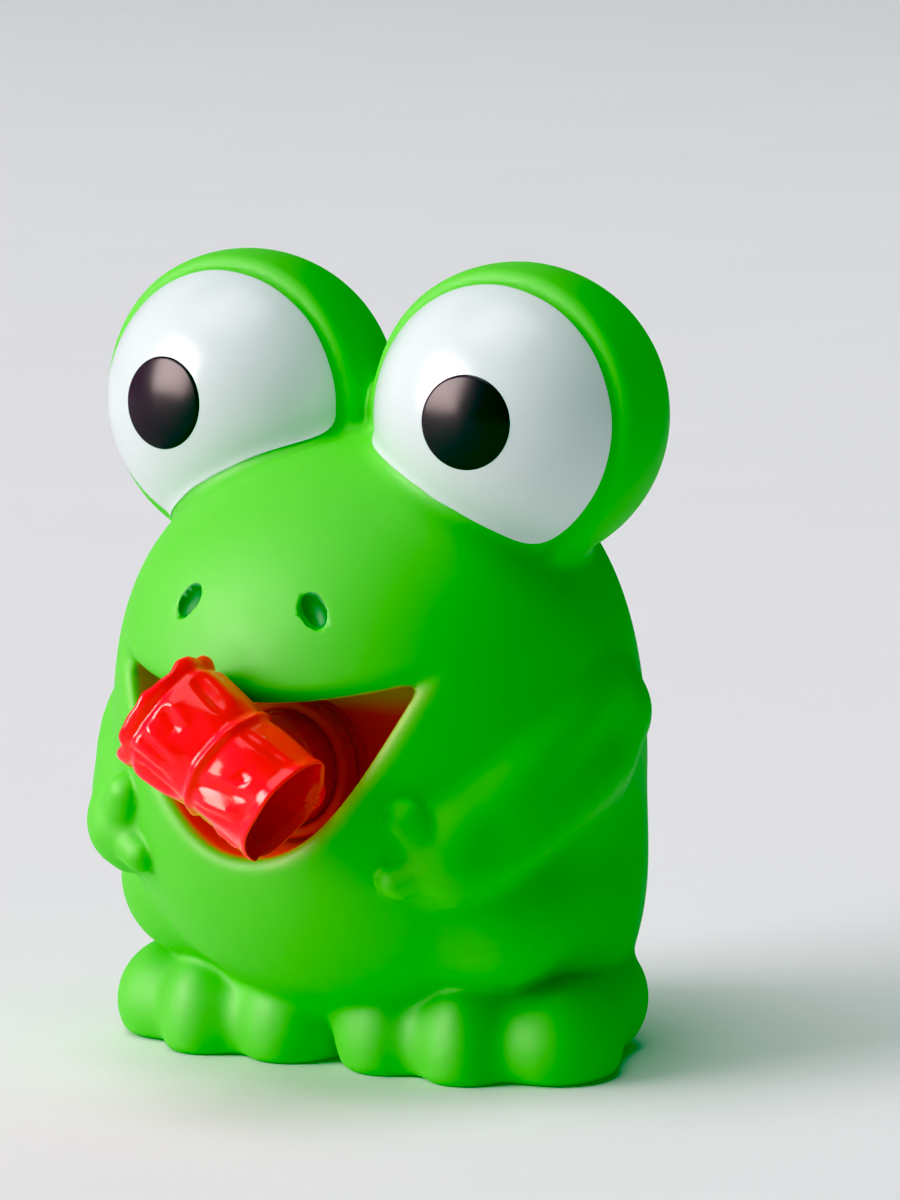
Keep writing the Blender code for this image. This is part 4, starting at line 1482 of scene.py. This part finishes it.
@dataclass
class TongueNeck:
    """Film from the nozzle to the roll: a round sleeve that flattens, widens and turns to a tilt."""

    finish: bpy.types.Material
    start: np.ndarray
    end: np.ndarray
    sleeve_radius: float = 5.2
    sleeve_length: float = 4.7
    end_width: float = 15.5
    end_thickness: float = 1.4
    tilt_degrees: float = 34.0
    pleats: int = 9
    pleat_depth: float = 0.22
    pleat_phase: float = 0.8
    pleat_flattening: float = 0.8
    shade: Range = (0.30, 0.75)
    sections: int = 90
    around: int = 120

    def build(self) -> bpy.types.Object:
        """Build and dress the neck: ellipses along a line whose size and turn ease from end to end.

        Returns:
            The neck piece.
        """
        share = np.linspace(0.0, 1.0, self.sections)[:, None]
        angle = np.arange(self.around)[None, :] * math.tau / self.around
        run = abs(self.end[1] - self.start[1])
        ease = smooth_step(self.sleeve_length / run, 1.0, share)
        centre = self.start + share[..., None] * (self.end - self.start)
        centre[..., 0] = self.start[0] + ease * (self.end[0] - self.start[0])
        centre[..., 2] = self.start[2] + ease * (self.end[2] - self.start[2])
        pleat = Wave(self.pleat_depth, self.pleats, self.pleat_phase)
        wave = pleat.at(angle) * np.sin(math.pi * ease) ** 2
        round_part = self.sleeve_radius * (1.0 - ease)
        width = round_part + self.end_width / 2 * ease + wave
        thick = round_part + self.end_thickness / 2 * ease + wave * (1.0 - self.pleat_flattening * ease)
        tilt = np.radians(self.tilt_degrees) * ease
        across = width * np.cos(angle)
        rise = thick * np.sin(angle)
        x = across * np.cos(tilt) + rise * np.sin(tilt)
        z = rise * np.cos(tilt) - across * np.sin(tilt)
        points = centre + np.stack((x, np.zeros_like(x), z), axis=-1)
        first = tuple(points[0].mean(axis=0))
        last = tuple(points[-1].mean(axis=0))
        shape, faces = closed_dome(points[::-1], last, first)
        piece = add_piece("tongue_film_neck", shape, faces, self.finish)
        # Painted shade: the neck is marked for the darker red near the nozzle, deep in the mouth, fading
        # towards the roll.
        shade = 1.0 - smooth_step(*self.shade, np.abs(shape[:, 1] - self.start[1]) / run)
        add_values(piece, "inside", shade)
        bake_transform(piece)
        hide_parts("tongue_neck")
        return piece


@dataclass(frozen=True)
class Turning:
    """Turned piece: a closed profile of radius and height points with rounded corners."""

    profile: tuple[tuple[float, float], ...]
    corner: float
    side_share: float = 2.2
    corner_steps: int = 5
    around: int = 128

    def rounded(self) -> np.ndarray:
        """Profile with each corner replaced by a short curve between points at the corner distance.

        Returns:
            Points as rows of radius and height.
        """
        corners = np.array(self.profile)
        before = np.roll(corners, 1, axis=0) - corners
        after = np.roll(corners, -1, axis=0) - corners
        length_before = np.linalg.norm(before, axis=1)[:, None]
        length_after = np.linalg.norm(after, axis=1)[:, None]
        start = corners + before / length_before * np.minimum(self.corner, length_before / self.side_share)
        end = corners + after / length_after * np.minimum(self.corner, length_after / self.side_share)
        share = np.linspace(0.0, 1.0, self.corner_steps)[None, :, None]
        curve = (1 - share) ** 2 * start[:, None] + 2 * share * (1 - share) * corners[:, None]
        return (curve + share**2 * end[:, None]).reshape(-1, 2)

    def ring(self, origin: np.ndarray, axis: np.ndarray) -> tuple[np.ndarray, Faces]:
        """Closed ring of the profile turned about an axis.

        Args:
            origin: Point on the axis where heights start.
            axis: Unit vector along which heights run.

        Returns:
            Points and faces.
        """
        profile = self.rounded()
        angle = np.arange(self.around) * math.tau / self.around
        side = np.array((1.0, 0.0, 0.0))
        other = np.cross(axis, side)
        spokes = np.cos(angle)[:, None] * side + np.sin(angle)[:, None] * other
        points = origin + profile[:, None, :1] * spokes[None] + profile[:, None, 1:] * axis
        return points.reshape(-1, 3), [grid_quads(len(profile), self.around, True, True)[:, ::-1]]


@dataclass
class AirNozzle:
    """Hollow spigot in the mouth's back wall, and the collar that clamps the film on it."""

    plastic: bpy.types.Material
    corner: float = 0.35
    bore: float = 2.6
    tube: float = 4.0
    spigot: float = 4.3
    flange_thickness: float = 1.4
    barb_length: float = 3.0
    barb_rise: float = 1.2
    wall_gap: float = 3.0
    collar_wall: float = 1.0

    def dressed(self, name: str, node: str, turning: Turning, origin: np.ndarray) -> bpy.types.Object:
        """Add a turned piece on the nozzle's axis in place of its node.

        Args:
            name: Name of the piece.
            node: Node that it stands for.
            turning: Its profile, with heights out of the mouth.
            origin: Point on the axis where heights start.

        Returns:
            The piece.
        """
        piece = add_piece(name, *turning.ring(origin, np.array((0.0, -1.0, 0.0))), self.plastic)
        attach(piece, Body.FROG.value)
        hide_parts(node)
        return piece

    def build(self) -> list[bpy.types.Object]:
        """Build and dress the nozzle and its collar from their boxes in the frame.

        Returns:
            Both pieces.
        """
        low, high = node_box("tongue_nozzle")
        origin = np.array((0.0, high[1], (low[2] + high[2]) / 2))
        whole = high[1] - low[1]
        flange = (high[0] - low[0]) / 2
        front = self.barb_length + self.wall_gap + self.flange_thickness
        back = front - self.flange_thickness
        nozzle = Turning((
            (self.bore, whole), (self.spigot, whole), (self.spigot, front), (flange, front), (flange, back),
            (self.tube, back), (self.tube, self.barb_length),
            (self.tube + self.barb_rise, self.barb_length), (self.tube, 0.0), (self.bore, 0.0)), self.corner)
        low, high = node_box("tongue_collar")
        outer = (high[0] - low[0]) / 2
        inner = outer - self.collar_wall
        wide = high[1] - low[1]
        collar = Turning(((inner, wide), (outer, wide), (outer, 0.0), (inner, 0.0)), self.corner)
        collar_origin = np.array((0.0, high[1], (low[2] + high[2]) / 2))
        return [self.dressed("air_nozzle", "tongue_nozzle", nozzle, origin),
                self.dressed("clamp_collar", "tongue_collar", collar, collar_origin)]


@dataclass
class BasePlug:
    """Vinyl plug pressed into the base, with a shallow dish in its face."""

    vinyl: bpy.types.Material
    flange_thickness: float = 1.4
    neck: float = 7.2
    lip: float = 7.9
    lip_height: float = 3.3
    dish: float = 0.4
    dish_inset: float = 2.0
    dish_edge: float = 0.15
    hub: float = 2.0
    corner: float = 0.3
    flange_corner: float = 0.2
    rim_corner: float = 0.25
    around: int = 128

    def build(self) -> bpy.types.Object:
        """Build and dress the plug from its box in the frame.

        Returns:
            The plug piece.
        """
        low, high = node_box("base_plug")
        radius = (high[0] - low[0]) / 2
        top = high[2]
        dish = radius - self.dish_inset
        flange = self.flange_thickness
        profile = np.array((
            (self.hub, top), (self.neck - self.corner, top), (self.neck, top - self.corner),
            (self.lip, self.lip_height), (self.neck, self.lip_height), (self.neck, flange),
            (radius - self.flange_corner, flange), (radius, flange - self.flange_corner),
            (radius, self.rim_corner), (radius - self.rim_corner, 0.0), (dish + self.corner, 0.0),
            (dish, self.dish_edge), (dish - self.corner, self.dish), (self.hub, self.dish)))
        angle = np.arange(self.around) * math.tau / self.around
        centre = np.array((0.0, (low[1] + high[1]) / 2, 0.0))
        spokes = np.stack((np.cos(angle), np.sin(angle), np.zeros_like(angle)), axis=1)
        rings = centre + profile[:, None, :1] * spokes + profile[:, None, 1:] * np.array((0.0, 0.0, 1.0))
        poles = [tuple(centre + np.array((0.0, 0.0, height))) for height in (top, self.dish)]
        points, faces = closed_dome(rings, *poles)
        piece = add_piece("floor_plug", points, faces, self.vinyl)
        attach(piece, Body.FROG.value)
        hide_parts("base_plug")
        return piece


def node_box(node: str) -> tuple[np.ndarray, np.ndarray]:
    """Lowest and highest corner of a node of the frame, in millimetres."""
    low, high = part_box(node)
    return np.array(low) / MM, np.array(high) / MM


@dataclass(frozen=True)
class SoftLight:
    """Large soft light, placed by its compass angle, its height above the horizon and its distance."""

    name: str
    azimuth_degrees: float
    elevation_degrees: float
    distance: float
    size: tuple[float, float]
    power: float
    colour: Point = (1.0, 1.0, 1.0)
    only_gloss: bool = False


@dataclass
class Studio:
    """Pale floor, soft light and a camera at the photograph's angle. Sizes here are in metres."""

    floor_half: float = 6.0
    floor_colour: Point = (0.820, 0.790, 0.832)
    floor_bounce: float = 0.17
    floor_shade: float = 0.985
    floor_grain: float = 60.0
    floor_roughness: float = 0.75
    floor_gloss: float = 0.1
    surround_colour: Point = (0.98, 0.98, 1.0)
    surround_lit: float = 0.44
    surround_dim: float = 0.03
    lights: tuple[SoftLight, ...] = (
        SoftLight("softbox", -40.0, 27.0, 7.0, (4.2, 3.8), 340.0),
        SoftLight("sheen", -37.0, 20.0, 7.1, (4.2, 3.8), 1320.0, (1.0, 0.96, 0.80), only_gloss=True),
        SoftLight("overhead", -20.0, 78.0, 7.0, (5.0, 5.0), 260.0),
    )
    azimuth_degrees: float = 30.0
    elevation_degrees: float = 8.1
    distance: float = 0.610
    target: Point = (0.0, 0.0095, 0.0411)
    black_level: Point = (0.112, 0.0, 0.065)
    lens: float = 192.0
    sensor: float = 36.0
    shift_x: float = 0.0017
    view_reach: float = 50.0

    def direction(self, azimuth_degrees: float, elevation_degrees: float) -> Vector:
        """Unit vector from the frog to a compass angle and height; compass 0 is ahead of its face."""
        azimuth = math.radians(azimuth_degrees)
        elevation = math.radians(elevation_degrees)
        flat = math.cos(elevation)
        return Vector((math.sin(azimuth) * flat, -math.cos(azimuth) * flat, math.sin(elevation)))

    def add_floor(self) -> None:
        """Lay a large floor, faintly uneven in tone, which throws more light back than it shows."""
        half = self.floor_half / MM
        corners = np.array(((-half, -half, 0.0), (half, -half, 0.0), (half, half, 0.0), (-half, half, 0.0)))
        graph = Graph("pale_floor")
        other = tuple(self.floor_shade * part for part in self.floor_colour)
        diffuse = graph.node("ShaderNodeLightPath").outputs["Is Diffuse Ray"]
        graph.shade(
            Base_Color=graph.tone(self.floor_grain, self.floor_colour, other),
            Roughness=self.floor_roughness, Specular_IOR_Level=self.floor_gloss,
            Emission_Color=(1.0, 1.0, 1.0, 1.0),
            Emission_Strength=graph.math("MULTIPLY", diffuse, self.floor_bounce))
        floor = add_piece("studio_floor", corners, [np.array([[0, 1, 2, 3]])], graph.material)

    def add_lights(self) -> None:
        """Hang the soft lights and set a pale surround, dimmer on the frog's left."""
        target = Vector(self.target)
        for light in self.lights:
            data = bpy.data.lights.new(light.name, "AREA")
            data.shape = "RECTANGLE"
            data.size, data.size_y = light.size
            data.energy = light.power
            data.color = light.colour
            lamp = bpy.data.objects.new(light.name, data)
            lamp.visible_diffuse = not light.only_gloss
            way = self.direction(light.azimuth_degrees, light.elevation_degrees)
            lamp.location = target + way * light.distance
            lamp.rotation_euler = way.to_track_quat("Z", "Y").to_euler()
            bpy.context.scene.collection.objects.link(lamp)
        world = bpy.data.worlds.new("pale_surround")
        world.use_nodes = True
        nodes = world.node_tree.nodes
        links = world.node_tree.links
        surround = nodes["Background"]
        surround.inputs["Color"].default_value = (*self.surround_colour, 1.0)
        place = nodes.new("ShaderNodeTexCoord")
        axes = nodes.new("ShaderNodeSeparateXYZ")
        strength = nodes.new("ShaderNodeMapRange")
        for name, value in (("From Min", -1.0), ("From Max", 1.0),
                            ("To Min", self.surround_lit), ("To Max", self.surround_dim)):
            strength.inputs[name].default_value = value
        links.new(place.outputs["Generated"], axes.inputs[0])
        links.new(axes.outputs["X"], strength.inputs["Value"])
        links.new(strength.outputs["Result"], surround.inputs["Strength"])
        bpy.context.scene.world = world

    def add_camera(self) -> None:
        """Set up the camera."""
        data = bpy.data.cameras.new("photo_camera")
        data.lens = self.lens
        data.sensor_width = self.sensor
        data.sensor_fit = "AUTO"
        data.shift_x = self.shift_x
        data.clip_end = self.view_reach
        camera = bpy.data.objects.new("photo_camera", data)
        way = self.direction(self.azimuth_degrees, self.elevation_degrees)
        camera.location = Vector(self.target) + way * self.distance
        camera.rotation_euler = way.to_track_quat("Z", "Y").to_euler()
        bpy.context.scene.collection.objects.link(camera)
        bpy.context.scene.camera = camera

    def build(self) -> None:
        """Set up the whole studio, with plain colours and a clean green in the shade."""
        self.add_floor()
        self.add_lights()
        self.add_camera()
        view = bpy.context.scene.view_settings
        view.view_transform = "Standard"
        view.look = "None"
        view.use_curve_mapping = True
        view.curve_mapping.black_level = self.black_level
        view.curve_mapping.update()


def clear_scene() -> None:
    """Remove what Blender starts with."""
    for item in list(bpy.data.objects):
        bpy.data.objects.remove(item, do_unlink=True)


def main() -> None:
    """Load the frame, build each sub-assembly round it and set up the studio."""
    logging.basicConfig(level=logging.INFO, format="%(message)s")
    clear_scene()
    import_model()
    form = FrogForm()
    white = GlossFinish(
        "white_gloss", (0.665, 0.705, 0.720), (0.660, 0.700, 0.715), (0.25, 0.26), uneven=0.0004, gloss=0.32)
    black = GlossFinish(
        "black_gloss", (0.092, 0.000, 0.057), (0.096, 0.000, 0.059), (0.20, 0.24), uneven=0.003, gloss=0.14)
    film = FilmFinish().build()
    # The red plastic of the nozzle and collar gets a faint painted glow.
    plastic = PlasticFinish(
        "red_plastic", (0.560, 0.000, 0.001), (0.520, 0.000, 0.001), (0.55, 0.65), painted_glow=0.12).build()
    plug_vinyl = PlasticFinish(
        "plug_vinyl", (0.090, 0.480, 0.030), (0.100, 0.450, 0.030), (0.40, 0.50)).build()
    low, high = node_box("tongue_roll")
    roll_centre = (low + high) / 2
    neck_low, neck_high = node_box("tongue_neck")
    nozzle_low, nozzle_high = node_box("tongue_nozzle")
    roll = TongueRoll(film, roll_centre)
    neck_start = np.array((0.0, neck_high[1], (nozzle_low[2] + nozzle_high[2]) / 2))
    neck_end = np.array((roll_centre[0], neck_low[1], roll_centre[2]))
    pieces = [FrogSkin(form, VinylFinish(form)).build()]
    pieces += EyePair(form, white, black).build()
    pieces += AirNozzle(plastic).build()
    pieces.append(roll.build())
    pieces.append(TongueNeck(film, neck_start, neck_end).build())
    pieces.append(BasePlug(plug_vinyl).build())
    for piece in pieces:
        LOG.info("%s: %d points, %d faces", piece.name, len(piece.data.vertices), len(piece.data.polygons))
    Studio().build()


if __name__ == "__main__":
    main()
